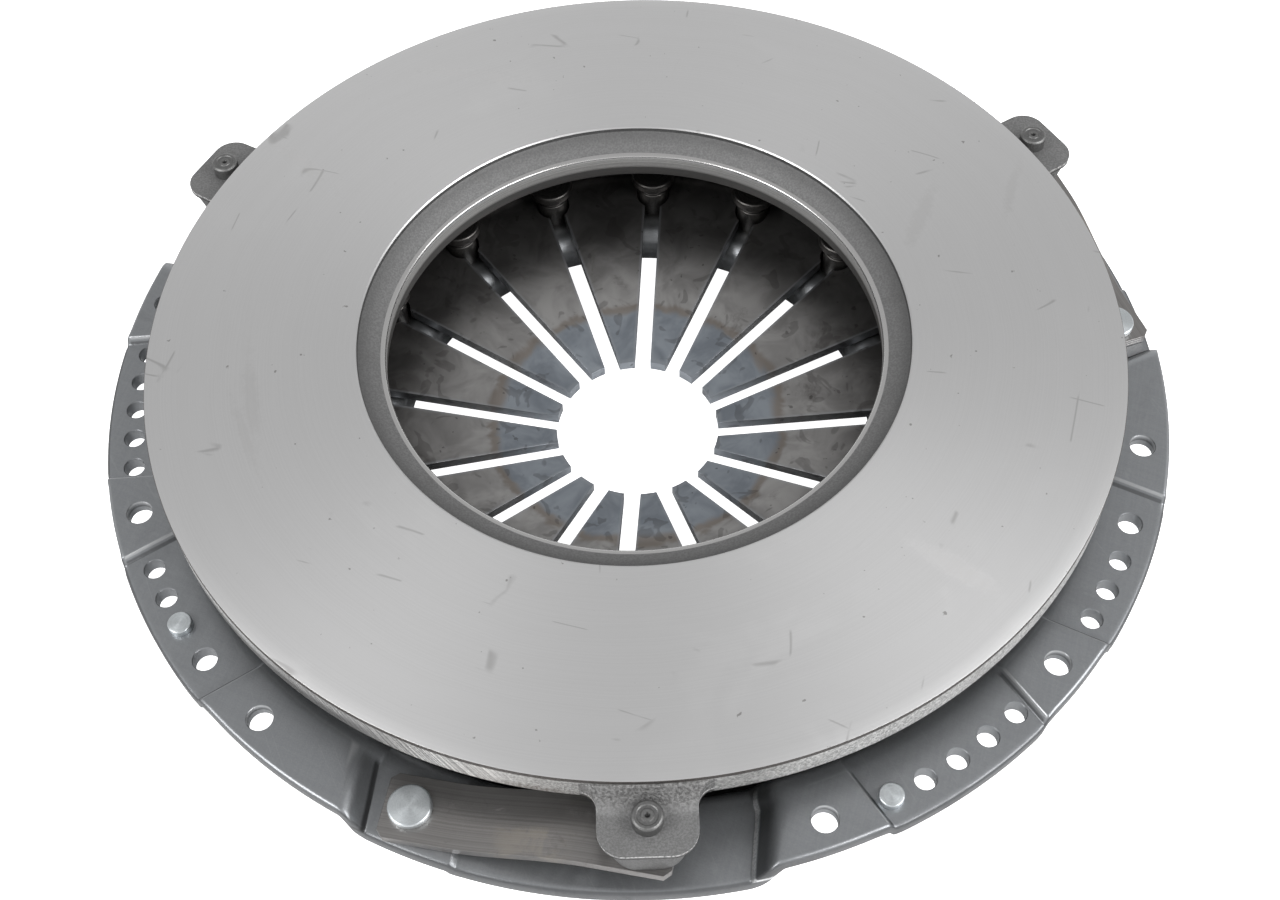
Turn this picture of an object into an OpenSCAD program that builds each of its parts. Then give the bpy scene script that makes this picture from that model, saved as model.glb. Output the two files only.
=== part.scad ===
/* [Pressure plate] */
// Diameter of the friction face
plate_d = 334; // [330:1:337]
// Thickness of the plate from friction face to back
plate_t = 16.5; // [15:0.5:18]
// Height of the friction face above the mounting pads, plate released
face_h = 26.3; // [25:0.1:30]
// Height of the turned rim band below the friction face
rim_band = 11.4; // [9:0.2:12]
// Distance from the rim in to the edge of the plate's back
rim_undercut = 9; // [7:0.5:11]
// Width of the friction face, from the rim in to the recess
face_w = 71.4; // [69:0.2:73]
// Width of the recess, from the friction face in to the bore
recess_w = 9.6; // [8:0.2:11]
// Depth of the recess at the lip of the bore
recess_depth = 5.8; // [4.5:0.1:7]
// Distance from the edge of the back in to the circle where the plate presses on the spring
bead_inset = 15; // [14:0.5:17]
// Width of the bead at its root
bead_root = 13; // [11:0.5:15]
// Radius of the bead's tip
bead_tip_r = 3; // [2:0.5:4]
// Number of vents cut across the bead
vent_count = 24; // [12:3:30]
// Width of one vent
vent_w = 13; // [8:1:16]
// Number of cooling ribs on the back of the plate
rib_count = 24; // [12:3:30]
// Height of a cooling rib
rib_h = 4.5; // [3:0.5:6]
// Width of a cooling rib
rib_w = 6; // [4:0.5:8]

/* [Lugs] */
// Width of a lug
lug_w = 29.7; // [27:0.1:33]
// Thickness of a lug
lug_t = 13.6; // [12:0.1:15]
// Depth of a lug's top below the friction face
lug_drop = 8.2; // [7.5:0.1:9]
// Metal beyond the rivet centre at the end of a lug
lug_edge = 10.5; // [9:0.5:12]
// Radius of a lug's outer corners
lug_corner_r = 8; // [5:0.5:9]
// Radius of the fillets at a lug's root
lug_root_r = 6.5; // [5:0.5:8]
// Direction of the first lug
lug_angle = -90.6; // [-91.5:0.1:-89.5]

/* [Cover] */
// Thickness of the pressed sheet
sheet_t = 5.5; // [4.5:0.1:6]
// Width of the flange, from the wall to the rim
flange_w = 27.5; // [26:0.5:30]
// Space between the plate's back and the wall, at the height of the pads
wall_gap = 2; // [1:0.5:4]
// Slope of the wall from upright
wall_slope = 15; // [10:1:20]
// Inner bend radius of the pressing
bend_r = 3; // [2:0.5:4]
// Inner bend radius at the walls of a strap pocket
press_r = 1; // [0.5:0.5:3]
// Radius of the edges of a coined step
coin_r = 0.8; // [0.4:0.1:1.2]
// Width of a coined step
step_run = 1.6; // [1.4:0.1:2.5]
// Depth of the relief round the balance holes
relief_drop = 2.8; // [2:0.1:3.5]
// Metal beyond the outermost balance holes in a relief
relief_margin = 2; // [1:0.1:3]
// Depth of a strap pocket
pocket_drop = 9.5; // [9:0.1:10.5]
// Depth of the platform that carries the straps
platform_drop = 8; // [7.5:0.1:8.5]
// Middle direction of the first pocket
pocket_angle = -98.2; // [-99:0.1:-97]
// Room on the platform in front of the strap's rivet, up to the wall
platform_front = 13.1; // [12:0.1:15]
// Room on the platform behind the strap's rivet, up to the step
platform_back = 14.4; // [13:0.1:17]
// Slope of the wall in front of the platform, across
front_run = 5.5; // [4:0.5:8]
// Room in the pocket beside the lug, up to the wall
lug_room = 16; // [12:0.5:18]
// Slope of that wall, across
back_run = 7; // [4:0.5:9]
// Distance from the rivet circle in to the lip round the release opening
lip_inset = 18.5; // [17:0.5:20]
// Depth of the lip below the cover's floor
lip_h = 12; // [10:0.5:14]
// Drop of the floor outside the rivet circle
floor_step = 2.5; // [1:0.5:4]
// Width of the slope of that drop
floor_run = 6; // [4:0.5:8]

/* [Cover holes] */
// Distance from the rim in to the bolt circle
bolt_inset = 10; // [9:0.5:12]
// Diameter of a bolt hole
bolt_hole_d = 8.5; // [8:0.1:9]
// Directions of the bolt holes in one third of the flange
bolt_angles = [-73.3, -43.3, -13.3];
// Diameter of a dowel hole
dowel_hole_d = 8; // [7:0.1:9]
// Direction of the dowel hole in one third of the flange
dowel_angle = -23.2; // [-23.6:0.1:-22.8]
// Distance from the rim in to the circle of the balance holes
balance_inset = 9.5; // [8.5:0.5:11]
// Middle directions of the groups of five and of three balance holes in one third
balance_middles = [-58.2, -32.2];
// Diameter of a balance hole
balance_hole_d = 7; // [6:0.1:7.5]
// Angle between neighbouring balance holes
balance_pitch = 4; // [3.6:0.1:4.2]

/* [Diaphragm spring] */
// Metal of the spring beyond the circle where the plate presses on it
spring_edge = 3; // [2:0.5:5]
// Thickness of the spring
spring_t = 4; // [3.5:0.1:4.2]
// Cone angle of the released spring
cone_angle = 11.6; // [10.5:0.1:12]
// Depth of the spring's top below the pads at the wire rings
spring_depth = 16.65; // [15.5:0.05:17.5]
// Number of fingers
finger_count = 16; // [12:1:18]
// Width of the slots between the fingers
slot_w = 6; // [5:0.5:7]
// Diameter of the circle through the finger tips
tip_d = 60.4; // [54:0.5:66]
// Direction of the first slot
slot_angle = 84.4; // [82:0.1:88]
// Space between a window and the shoulder of its rivet
window_gap = 1; // [0.6:0.1:2]

/* [Shouldered rivets and wire rings] */
// Distance from the circle where the plate presses on the spring in to the rivet circle
lever = 38; // [36:1:40]
// Diameter of a rivet's head
head_d = 17; // [15:0.5:19]
// Thickness of a rivet's head
head_t = 3.6; // [3:0.1:4.5]
// Diameter of a rivet's shoulder
shoulder_d = 11; // [10:0.5:12]
// Diameter of a rivet's shank in the cover
shank_d = 9; // [7:0.5:9.5]
// Diameter of the wire of the rings
wire_d = 5; // [4:0.25:6]

/* [Straps] */
// Number of leaves in one strap
leaf_count = 3; // [2:1:3]
// Thickness of one leaf
leaf_t = 1.1; // [0.8:0.05:1.2]
// Width of a strap
strap_w = 21; // [18:0.5:22]
// Angle between the two rivets of a strap
strap_span = 24.3; // [23:0.1:25]
// Metal beyond a rivet centre at the end of a strap
strap_end = 8.5; // [7.5:0.5:9]
// Size of the clipped corners of a strap
strap_clip = 2.2; // [1:0.1:3]
// Space between the rim of the plate and the rivets of the straps
strap_offset = 8.5; // [8:0.1:9]
// Diameter of the head of a rivet in the cover
strap_head_d = 13.8; // [12:0.1:15]
// Diameter of that rivet's shank
strap_shank_d = 9; // [7:0.5:9.5]
// Diameter of the end of a rivet that stands on a lug
lug_rivet_d = 9.5; // [8:0.1:10]
// Height of that end above the lug
lug_rivet_h = 5; // [3.5:0.1:6]

/* [Balance rivets] */
// Diameter of a balance rivet's head
balance_head_d = 8; // [7.6:0.1:9]
// Height of a balance rivet's head
balance_head_h = 2.5; // [1.5:0.1:3]
// Numbers of the balance holes that hold a rivet, counted along the flange
balance_rivet_at = [0, 23];

/* [Hidden] */
// Roundness of turned and pressed shapes
$fn = 180;
// Clearance between pieces that are seated on each other
seat = 0.15;
// Clearance of a rivet in its hole
hole_gap = 0.05;
// Number of segments, each with one lug, one strap and one pocket
thirds = 3;
third = 360 / thirds;
// Cutters reach this far above and below the pads
reach = 60;

plate_r = plate_d / 2;
recess_r = plate_r - face_w;
bore_r = recess_r - recess_w;
back_r = plate_r - rim_undercut;
bead_r = back_r - bead_inset;
wall_top_r = back_r + wall_gap;
flange_r = wall_top_r + flange_w;
back_z = face_h - plate_t;

// The cone of the spring's upper side
rivet_r = bead_r - lever;
lip_r = rivet_r - lip_inset;
fulcrum_r = rivet_r + shoulder_d / 2 + wire_d / 2 + seat;
cone_slope = tan(cone_angle);
function spring_top(r) = (r - fulcrum_r) * cone_slope - spring_depth;
spring_rise = spring_t / cos(cone_angle);
wire_lift = (wire_d / 2 + seat) / cos(cone_angle);
upper_wire_z = spring_top(fulcrum_r) + wire_lift;
lower_wire_z = spring_top(fulcrum_r) - spring_rise - wire_lift;

// The rivets hold the stack of rings and spring between their heads and the floor
head_z = upper_wire_z + wire_d / 2 + seat;
floor_z = lower_wire_z - wire_d / 2 - seat;
outer_floor_z = floor_z - floor_step;
lip_z = floor_z - lip_h;
wall_tan = tan(wall_slope);
function wall_r(z) = wall_top_r + z * wall_tan;

strap_r = plate_r + strap_offset;
leaf_gap = 0.05;
pack_t = leaf_count * leaf_t + (leaf_count - 1) * leaf_gap;
lug_top_z = face_h - lug_drop;
lug_low_z = lug_top_z - lug_t;
platform_z = -platform_drop;
strap_chord = 2 * strap_r * sin(strap_span / 2);
strap_rise = lug_low_z - seat - pack_t - (platform_z + seat);
anchor_angle = lug_angle - strap_span;
balance_r = flange_r - balance_inset;
bolt_r = flange_r - bolt_inset;
balance_angles = [
    for (i = [-2:2]) balance_middles[0] + i * balance_pitch,
    for (i = [-1:1]) balance_middles[1] + i * balance_pitch];
all_balance_angles = [for (k = [0:thirds - 1], a = balance_angles) a + k * third];
// Each relief and each pocket is pressed in as a channel with parallel walls: corners
// of its floor and walls across the channel, [place, height], from one pad to the next
relief_half = balance_r * sin(2 * balance_pitch) + balance_hole_d / 2 + relief_margin;
relief_channel = [
    [-relief_half - step_run / 2, 0],
    [-relief_half + step_run / 2, -relief_drop],
    [relief_half - step_run / 2, -relief_drop],
    [relief_half + step_run / 2, 0]];
relief_angles = [-58.3, -28.8];
// Where the strap's rivet and the lug stand across a pocket
anchor_place = strap_r * sin(anchor_angle - pocket_angle);
lug_place = strap_r * sin(lug_angle - pocket_angle);
pocket_channel = [
    [anchor_place - platform_front - front_run, 0],
    [anchor_place - platform_front, platform_z],
    [anchor_place + platform_back, platform_z],
    [anchor_place + platform_back + step_run, -pocket_drop],
    [lug_place + lug_w / 2 + lug_room, -pocket_drop],
    [lug_place + lug_w / 2 + lug_room + back_run, 0]];

cover_color = [0.45, 0.47, 0.49];
cast_color = [0.55, 0.55, 0.54];
spring_color = [0.25, 0.23, 0.22];
wire_color = [0.3, 0.3, 0.31];
leaf_color = [0.46, 0.42, 0.4];
zinc_color = [0.78, 0.81, 0.82];
rivet_color = [0.5, 0.5, 0.5];

// A bent sheet is drawn as the corners of its upper side. moved() gives the corners of
// its lower side, and rounded() gives a bend the inside radius or that and the sheet
function unit(a, b) = (b - a) / norm(b - a);
function left(d) = [-d[1], d[0]];
function cross_z(d, e) = d[0] * e[1] - d[1] * e[0];
function bends_left(p, i) = cross_z(p[i] - p[i - 1], p[i + 1] - p[i]) > 0;
function moved_corner(p, i, t) =
    i == 0 ? p[0] + t * left(unit(p[0], p[1])) :
    i == len(p) - 1 ? p[i] + t * left(unit(p[i - 1], p[i])) :
    let (n = left(unit(p[i - 1], p[i])), m = left(unit(p[i], p[i + 1])))
    p[i] + t * (n + m) / (1 + n * m);
function moved(p, t) = [for (i = [0:len(p) - 1]) moved_corner(p, i, t)];
function round_corner(p, q, s, r, steps = 6) =
    let (d = unit(q, p), e = unit(q, s), half = acos(d * e) / 2)
    let (c = q + (d + e) / norm(d + e) * r / sin(half), start = q + d * r / tan(half) - c)
    let (a = atan2(start[1], start[0]), sweep = (180 - 2 * half) * (cross_z(-d, e) > 0 ? 1 : -1))
    [for (k = [0:steps]) c + r * [cos(a + sweep * k / steps), sin(a + sweep * k / steps)]];
function rounded_to(p, radii) =
    [p[0], for (i = [1:len(p) - 2]) each round_corner(p[i - 1], p[i], p[i + 1], radii[i - 1]), p[len(p) - 1]];
function rounded(p, inside, outside_left) =
    rounded_to(p, [for (i = [1:len(p) - 2]) bends_left(p, i) == outside_left ? inside : inside + sheet_t]);
function reversed(p) = [for (i = [len(p) - 1:-1:0]) p[i]];
function trimmed(p) = [for (i = [1:len(p) - 2]) p[i]];

// Corners of the upper side of the cover, from the rim inwards
cover_path = [
    [flange_r, 0],
    [wall_r(0), 0],
    [wall_r(outer_floor_z), outer_floor_z],
    [rivet_r + head_d / 2 + bend_r + sheet_t + floor_run, outer_floor_z],
    [rivet_r + head_d / 2 + bend_r + sheet_t, floor_z],
    [lip_r, floor_z],
    [lip_r, lip_z]];

// Everything that lies under the cover's upper side, and under its lower side
module under_upper_side()
    rotate_extrude()
        polygon(concat(rounded(cover_path, bend_r, false), [[flange_r, lip_z]]));

module under_lower_side()
    rotate_extrude()
        polygon(concat([[flange_r + 1, -sheet_t]],
            trimmed(rounded(moved(cover_path, sheet_t), bend_r, true)),
            [[lip_r + sheet_t, lip_z - 1], [flange_r + 1, lip_z - 1]]));

// Outline of the space over a channel; its ends run on upwards, past the pads
function over_channel(p) =
    let (n = len(p) - 1)
    concat([[p[0][0], reach], p[0] - (p[1] - p[0]) / 4], [for (i = [1:n - 1]) p[i]],
        [p[n] + (p[n] - p[n - 1]) / 4, [p[n][0], reach]]);
// The corners at both ends lie on the pads, so each path starts and stops on one
function channel_path(channel) =
    concat([channel[0] - [flange_w, 0]], channel, [channel[len(channel) - 1] + [flange_w, 0]]);
// A relief is coined: both sides of the sheet step down alike
function relief_outline(depth) =
    trimmed(rounded_to(channel_path([for (p = relief_channel) p - [0, depth]]), [for (p = relief_channel) coin_r]));
// A pocket is bent, with one coined step behind its platform
function pocket_radii(pad, floor) = [pad, floor, coin_r, coin_r, floor, pad];
pocket_upper = trimmed(rounded_to(channel_path(pocket_channel), pocket_radii(press_r + sheet_t, press_r)));
pocket_lower = trimmed(rounded_to(moved(channel_path(pocket_channel), -sheet_t),
    pocket_radii(press_r, press_r + sheet_t)));

// A channel starts where the widest pocket's end meets the wall, and runs out past the rim
channel_half = max([for (p = pocket_channel) abs(p[0])]);
channel_start = sqrt(pow(wall_r(-pocket_drop), 2) - pow(channel_half, 2));

// The space over one kind of channel, on the upper or the lower side of the sheet
module channel_spaces(outline, angles)
    for (k = [0:thirds - 1], a = angles)
        rotate([0, 0, a + k * third + 90])
            translate([0, -channel_start, 0])
                rotate([90, 0, 0])
                    linear_extrude(reach)
                        polygon(over_channel(outline));

// Places its child at radius r in each of the directions
module placed(r, angles)
    for (a = angles)
        rotate([0, 0, a]) translate([r, 0, 0]) children();

module drill(d)
    translate([0, 0, -reach]) cylinder(d = d, h = 2 * reach, $fn = 48);

function in_thirds(angles) = [for (k = [0:thirds - 1], a = angles) a + k * third];
spring_slots = [for (i = [0:finger_count - 1]) slot_angle + i * 360 / finger_count];

module cover()
    color(cover_color)
    difference() {
        under_upper_side();
        channel_spaces(pocket_upper, [pocket_angle]);
        channel_spaces(relief_outline(0), relief_angles);
        difference() {
            under_lower_side();
            channel_spaces(pocket_lower, [pocket_angle]);
            channel_spaces(relief_outline(sheet_t), relief_angles);
        }
        placed(bolt_r, in_thirds(bolt_angles)) drill(bolt_hole_d);
        placed(bolt_r, in_thirds([dowel_angle])) drill(dowel_hole_d);
        placed(balance_r, all_balance_angles) drill(balance_hole_d);
        placed(strap_r, in_thirds([anchor_angle])) drill(strap_shank_d);
        placed(rivet_r, spring_slots) drill(shank_d);
    }

// Half section of the plate: turned face and rim, cast recess, bore and back with its bead
bead_z = spring_top(bead_r) + 2 * seat;
edge_chamfer = 0.6;
plate_section = [
    [plate_r - edge_chamfer, face_h],
    [plate_r, face_h - edge_chamfer],
    [plate_r, face_h - rim_band],
    [plate_r - 3, face_h - rim_band - 2],
    [back_r, back_z + 2],
    [back_r - 2, back_z],
    [bead_r + bead_root / 2, back_z],
    for (k = [0:8]) [bead_r, bead_z + bead_tip_r] + bead_tip_r * [cos(-10 - 20 * k), sin(-10 - 20 * k)],
    [bead_r - bead_root / 2, back_z],
    [bore_r + 1.5, back_z],
    [bore_r + 0.5, back_z + 1.5],
    [bore_r + 0.5, face_h - recess_depth - 4],
    [bore_r, face_h - recess_depth - 3.5],
    [bore_r, face_h - recess_depth - 0.6],
    [bore_r + 0.6, face_h - recess_depth],
    [bore_r + 3.5, face_h - recess_depth + 1.2],
    [recess_r - 2.2, face_h - 2.4],
    [recess_r - 0.8, face_h - 1.6],
    [recess_r, face_h - 0.2],
    [recess_r + 0.2, face_h]];

// Footprint of a lug that points along +X, with its root fillets
module lug_outline() {
    tip = strap_r + lug_edge;
    half = lug_w / 2;
    c = lug_corner_r;
    root = plate_r - 1;
    translate([root - 15, -half]) square([tip - c - root + 15, lug_w]);
    translate([tip - c - 1, c - half]) square([c + 1, lug_w - 2 * c]);
    for (m = [0, 1])
        mirror([0, m]) {
            translate([tip - c, half - c]) circle(c, $fn = 48);
            difference() {
                translate([root - 15, half - 1]) square([lug_root_r + 13, lug_root_r + 1]);
                translate([root + lug_root_r - 2, half + lug_root_r]) circle(lug_root_r, $fn = 48);
                translate([root - 2, half + lug_root_r]) square(20);
            }
        }
}

// Sloped metal between the rim and the top of a lug
module lug_blend() {
    run = 6;
    rotate([90, 0, 0])
        linear_extrude(lug_w, center = true)
            polygon([
                [plate_r - 5, face_h - 2],
                [plate_r + 0.6, face_h - 2],
                for (k = [1:5]) [plate_r + 0.6 + run * k / 5, lug_top_z + (lug_drop - 2) * pow(1 - k / 5, 2)],
                [plate_r + run, lug_top_z - 2],
                [plate_r - 5, lug_top_z - 2]]);
}

module pressure_plate()
    color(cast_color)
    difference() {
        union() {
            rotate_extrude() polygon(plate_section);
            for (k = [0:thirds - 1])
                rotate([0, 0, lug_angle + k * third]) {
                    translate([0, 0, lug_low_z]) linear_extrude(lug_t) lug_outline();
                    lug_blend();
                }
            for (i = [0:rib_count - 1])
                rotate([0, 0, (i + 0.5) * 360 / rib_count])
                    translate([bore_r + 5, -rib_w / 2, back_z - rib_h])
                        cube([bead_r - bore_r - 7, rib_w, rib_h + 1]);
        }
        for (i = [0:vent_count - 1])
            rotate([0, 0, i * 360 / vent_count])
                translate([bead_r - bead_root, -vent_w / 2, bead_z - 1])
                    cube([2 * bead_root, vent_w, back_z - rib_h - bead_z + 1]);
        placed(strap_r, in_thirds([lug_angle])) drill(lug_rivet_d);
    }

module diaphragm_spring() {
    edge = 0.8;
    inner = tip_d / 2;
    outer = bead_r + spring_edge;
    window = shoulder_d + 2 * window_gap;
    color(spring_color)
    difference() {
        rotate_extrude()
            polygon([
                [inner, spring_top(inner) - spring_rise],
                [outer - edge, spring_top(outer - edge) - spring_rise],
                [outer, spring_top(outer) - spring_rise + edge],
                [outer, spring_top(outer) - edge],
                [outer - edge, spring_top(outer - edge)],
                [inner, spring_top(inner)]]);
        for (a = spring_slots)
            rotate([0, 0, a]) {
                translate([0, -slot_w / 2, -reach]) cube([rivet_r, slot_w, reach]);
                for (d = [-window_gap, window_gap])
                    translate([rivet_r + d, 0, -reach]) cylinder(d = window, h = reach, $fn = 48);
                translate([rivet_r - window_gap, -window / 2, -reach]) cube([2 * window_gap, window, reach]);
            }
    }
}

module wire_ring(z)
    color(wire_color)
    translate([0, 0, z])
        rotate_extrude()
            translate([fulcrum_r, 0]) circle(d = wire_d, $fn = 24);

module upper_wire_ring() wire_ring(upper_wire_z);
module lower_wire_ring() wire_ring(lower_wire_z);

// A rivet whose closed head lies under the cover's sheet, from its lower end upwards
function closed_head(z, d, h) = [[0, z - h], [d / 2 - h * 0.6, z - h], [d / 2 - h * 0.2, z - h * 0.6], [d / 2, z]];

module shouldered_rivets() {
    chamfer = 0.6;
    tail_d = shank_d - 2 * hole_gap;
    low_z = floor_z - sheet_t;
    color(rivet_color)
    placed(rivet_r, spring_slots)
        rotate_extrude($fn = 48)
            polygon(concat(closed_head(low_z - hole_gap, shank_d + 5, 3.2), [
                [tail_d / 2, low_z - hole_gap],
                [tail_d / 2, floor_z + hole_gap],
                [shoulder_d / 2, floor_z + hole_gap],
                [shoulder_d / 2, head_z],
                [head_d / 2 - chamfer, head_z],
                [head_d / 2, head_z + chamfer],
                [head_d / 2, head_z + head_t - chamfer],
                [head_d / 2 - chamfer, head_z + head_t],
                [0, head_z + head_t]]));
}

// Goes smoothly from 1 down to 0 as u goes from 0 to 1
function ease(u) = 1 - (3 * u * u - 2 * u * u * u);
// Points of the lower side of a leaf, from the cover's end to the lug's end
leaf_start = strap_head_d / 2 + 4;
leaf_stop = strap_chord - lug_w / 2 - 1;
function leaf_line(lift, steps = 14) = [
    [-strap_end, lift],
    for (k = [0:steps]) [leaf_start + (leaf_stop - leaf_start) * k / steps,
        lift + strap_rise * (1 - ease(k / steps))],
    [strap_chord + strap_end, lift + strap_rise]];

// One leaf of the strap that runs from the cover's platform up to the lug
module strap_leaf(strap, leaf) {
    low = platform_z + seat + (leaf - 1) * (leaf_t + leaf_gap);
    line = leaf_line(low);
    color(leaf_color)
    rotate([0, 0, anchor_angle + (strap - 1) * third])
        translate([strap_r, 0, 0])
            rotate([0, 0, 90 + strap_span / 2])
                difference() {
                    rotate([90, 0, 0])
                        linear_extrude(strap_w, center = true)
                            polygon(concat(line, reversed([for (p = line) p + [0, leaf_t]])));
                    for (x = [0, strap_chord])
                        translate([x, 0, 0]) drill(x == 0 ? strap_shank_d : lug_rivet_d);
                    for (x = [-strap_end, strap_chord + strap_end], y = [-strap_w / 2, strap_w / 2])
                        translate([x, y, 0])
                            rotate([0, 0, 45])
                                cube([strap_clip * sqrt(2), strap_clip * sqrt(2), reach], center = true);
                }
}

module cover_strap_rivet(strap) {
    head_h = 2.6;
    tail_d = strap_shank_d - 2 * hole_gap;
    top = platform_z + seat + pack_t + hole_gap;
    low_z = platform_z - sheet_t - hole_gap;
    color(zinc_color)
    placed(strap_r, [anchor_angle + (strap - 1) * third])
        rotate_extrude($fn = 64)
            polygon(concat(closed_head(low_z, strap_shank_d + 5, 3.2), [
                [tail_d / 2, low_z],
                [tail_d / 2, top],
                [strap_head_d / 2 - 0.3, top],
                [strap_head_d / 2, top + 0.5],
                [strap_head_d / 2, top + head_h - 0.6],
                [strap_head_d / 2 - 0.6, top + head_h],
                [0, top + head_h]]));
}

module lug_rivet(strap) {
    foot_h = 2.2;
    foot_d = 14;
    dimple = 0.8;
    body_d = lug_rivet_d - 2 * hole_gap;
    low_z = lug_low_z - seat - pack_t - hole_gap;
    top = lug_top_z + lug_rivet_h;
    color(rivet_color)
    placed(strap_r, [lug_angle + (strap - 1) * third])
        rotate_extrude($fn = 48)
            polygon([
                [0, low_z - foot_h],
                [foot_d / 2 - 0.5, low_z - foot_h],
                [foot_d / 2, low_z - foot_h + 0.5],
                [foot_d / 2, low_z],
                [body_d / 2, low_z],
                [body_d / 2, lug_top_z],
                [body_d / 2 + 0.1, top - 0.6],
                [body_d / 2 - 0.5, top],
                [dimple, top],
                [0, top - dimple]]);
}

module balance_rivet(number) {
    tail_d = balance_hole_d - 2 * hole_gap;
    top = -relief_drop + hole_gap;
    low_z = -relief_drop - sheet_t - hole_gap;
    color(zinc_color)
    placed(balance_r, [all_balance_angles[balance_rivet_at[number - 1]]])
        rotate_extrude($fn = 48)
            polygon(concat(closed_head(low_z, balance_hole_d + 3, 2.4), [
                [tail_d / 2, low_z],
                [tail_d / 2, top],
                [balance_head_d / 2, top],
                [balance_head_d / 2, top + balance_head_h - 0.4],
                [balance_head_d / 2 - 0.4, top + balance_head_h],
                [0, top + balance_head_h]]));
}

cover();
pressure_plate();
diaphragm_spring();
upper_wire_ring();
lower_wire_ring();
shouldered_rivets();
for (s = [1:thirds], i = [1:leaf_count])
    strap_leaf(s, i);
for (s = [1:thirds])
    cover_strap_rivet(s);
for (s = [1:thirds])
    lug_rivet(s);
for (n = [1:2])
    balance_rivet(n);
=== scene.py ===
from functools import reduce
from math import asin, cos, degrees, pi, radians, sin, sqrt, tan

import bmesh
import bpy
import numpy as np
from mathutils import Matrix, Vector


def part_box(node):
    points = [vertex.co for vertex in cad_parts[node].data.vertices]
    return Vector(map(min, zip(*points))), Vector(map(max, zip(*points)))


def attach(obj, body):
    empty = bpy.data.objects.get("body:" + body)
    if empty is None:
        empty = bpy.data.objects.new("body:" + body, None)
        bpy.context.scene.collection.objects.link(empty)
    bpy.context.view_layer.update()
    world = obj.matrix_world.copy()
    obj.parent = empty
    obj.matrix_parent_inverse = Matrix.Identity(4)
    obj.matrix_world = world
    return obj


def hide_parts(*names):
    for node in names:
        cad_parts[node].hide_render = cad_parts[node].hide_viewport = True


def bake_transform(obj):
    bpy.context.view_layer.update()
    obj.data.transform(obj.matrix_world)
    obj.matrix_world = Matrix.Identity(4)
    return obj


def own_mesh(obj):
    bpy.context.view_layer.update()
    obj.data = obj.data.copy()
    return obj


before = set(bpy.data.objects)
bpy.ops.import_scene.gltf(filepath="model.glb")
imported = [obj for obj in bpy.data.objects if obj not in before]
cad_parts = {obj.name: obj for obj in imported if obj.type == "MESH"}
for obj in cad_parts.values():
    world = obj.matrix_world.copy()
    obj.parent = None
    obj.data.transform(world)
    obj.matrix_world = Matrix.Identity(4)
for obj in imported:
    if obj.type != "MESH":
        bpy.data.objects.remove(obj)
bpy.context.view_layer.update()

# Sizes and places on the part are in millimetres; a piece becomes metres when its mesh is made
MM = 0.001
MERGE = 0.01
HEAD_GAP = 0.05
THIRDS = 3
THIRD = 360 / THIRDS
THIRD_START = -130.0

# Pressure plate
FACE_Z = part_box("pressure_plate")[1].z / MM
LIP_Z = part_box("cover")[0].z / MM
PLATE_R = 167.0
BACK_R = 158.0
BORE_R = 86.0
RECESS_R = 95.6
RIM_BAND = 11.4
BACK_Z = FACE_Z - 16.5
BEAD_R = 143.0
BEAD_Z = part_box("pressure_plate")[0].z / MM
RIB_Z = BACK_Z - 4.5
VENTS = 24
VENT_W = 13.0

# Lugs
LUG_ANGLE = -90.6
LUG_W = 29.7
LUG_TIP_R = 186.0
LUG_CORNER = 8.0
LUG_ROOT = 5.5
LUG_TOP_Z = FACE_Z - 8.2
LUG_LOW_Z = LUG_TOP_Z - 13.6
LUG_STEP = 2.0
LUG_PART = 0.8
LUG_DRAFT = 2.6

# Cover
SHEET = 5.5
BEND = 3.0
PRESS = 1.0
COIN = 0.8
FLANGE_R = 187.5
PAD_EDGE = 0.7
PAD_EASE = 1.2
RIM_ROUNDS = (1.2, 0.6)
RIM_TURNS = (90, 60, 30, 0)
WALL_R = 160.0
WALL_SLOPE = tan(radians(15))
RELIEF = 2.8
PLATFORM = 8.0
POCKET = 9.5
STEP = 1.6
POCKET_ANGLE = -98.2
FLOOR_Z = LIP_Z + 12
OUTER_FLOOR_Z = FLOOR_Z - 2.5
LIP_R = 86.5
BOLT_CIRCLE_R = 177.5
BALANCE_R = 178.0
BOLT_HOLES = [(angle, BOLT_CIRCLE_R, 4.25) for angle in (-73.3, -43.3, -13.3)]
BALANCE_HOLES = [(first + 4.0 * k, BALANCE_R, 3.5)
                 for first, count in ((-66.2, 5), (-36.2, 3)) for k in range(count)]
DOWEL_HOLES = [(-23.2, BOLT_CIRCLE_R, 4.0)]
BALANCE_RIVETS = (-66.2, 211.8)

# The cover's grid: a hole's cell is a square of points, all cells lie in one band of the flange, and
# inside the channels' radius the columns run straight to the axis
CELL = 9
HOLE_BAND = (185.2, 168.6)
CHANNEL_R = 166.5
COLUMN_STEP = 1.3
COLUMN_GAP = 0.08
ROW_STEP = 9.0

# Spring, wire rings and shouldered rivets
RIVET_R = 105.0
RIVET_HEAD_R = 8.5
FULCRUM_R = 113.15
WIRE_R = 2.5
CONE_ANGLE = radians(11.6)
SPRING_DEPTH = 16.65
SPRING_T = 4.0
SPRING_R = 146.0
TIP_R = 30.2
SLOT_HALF = 3.0
WINDOW_R = 6.5
FINGERS = 16
SLOT_ANGLE = 84.4

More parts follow.
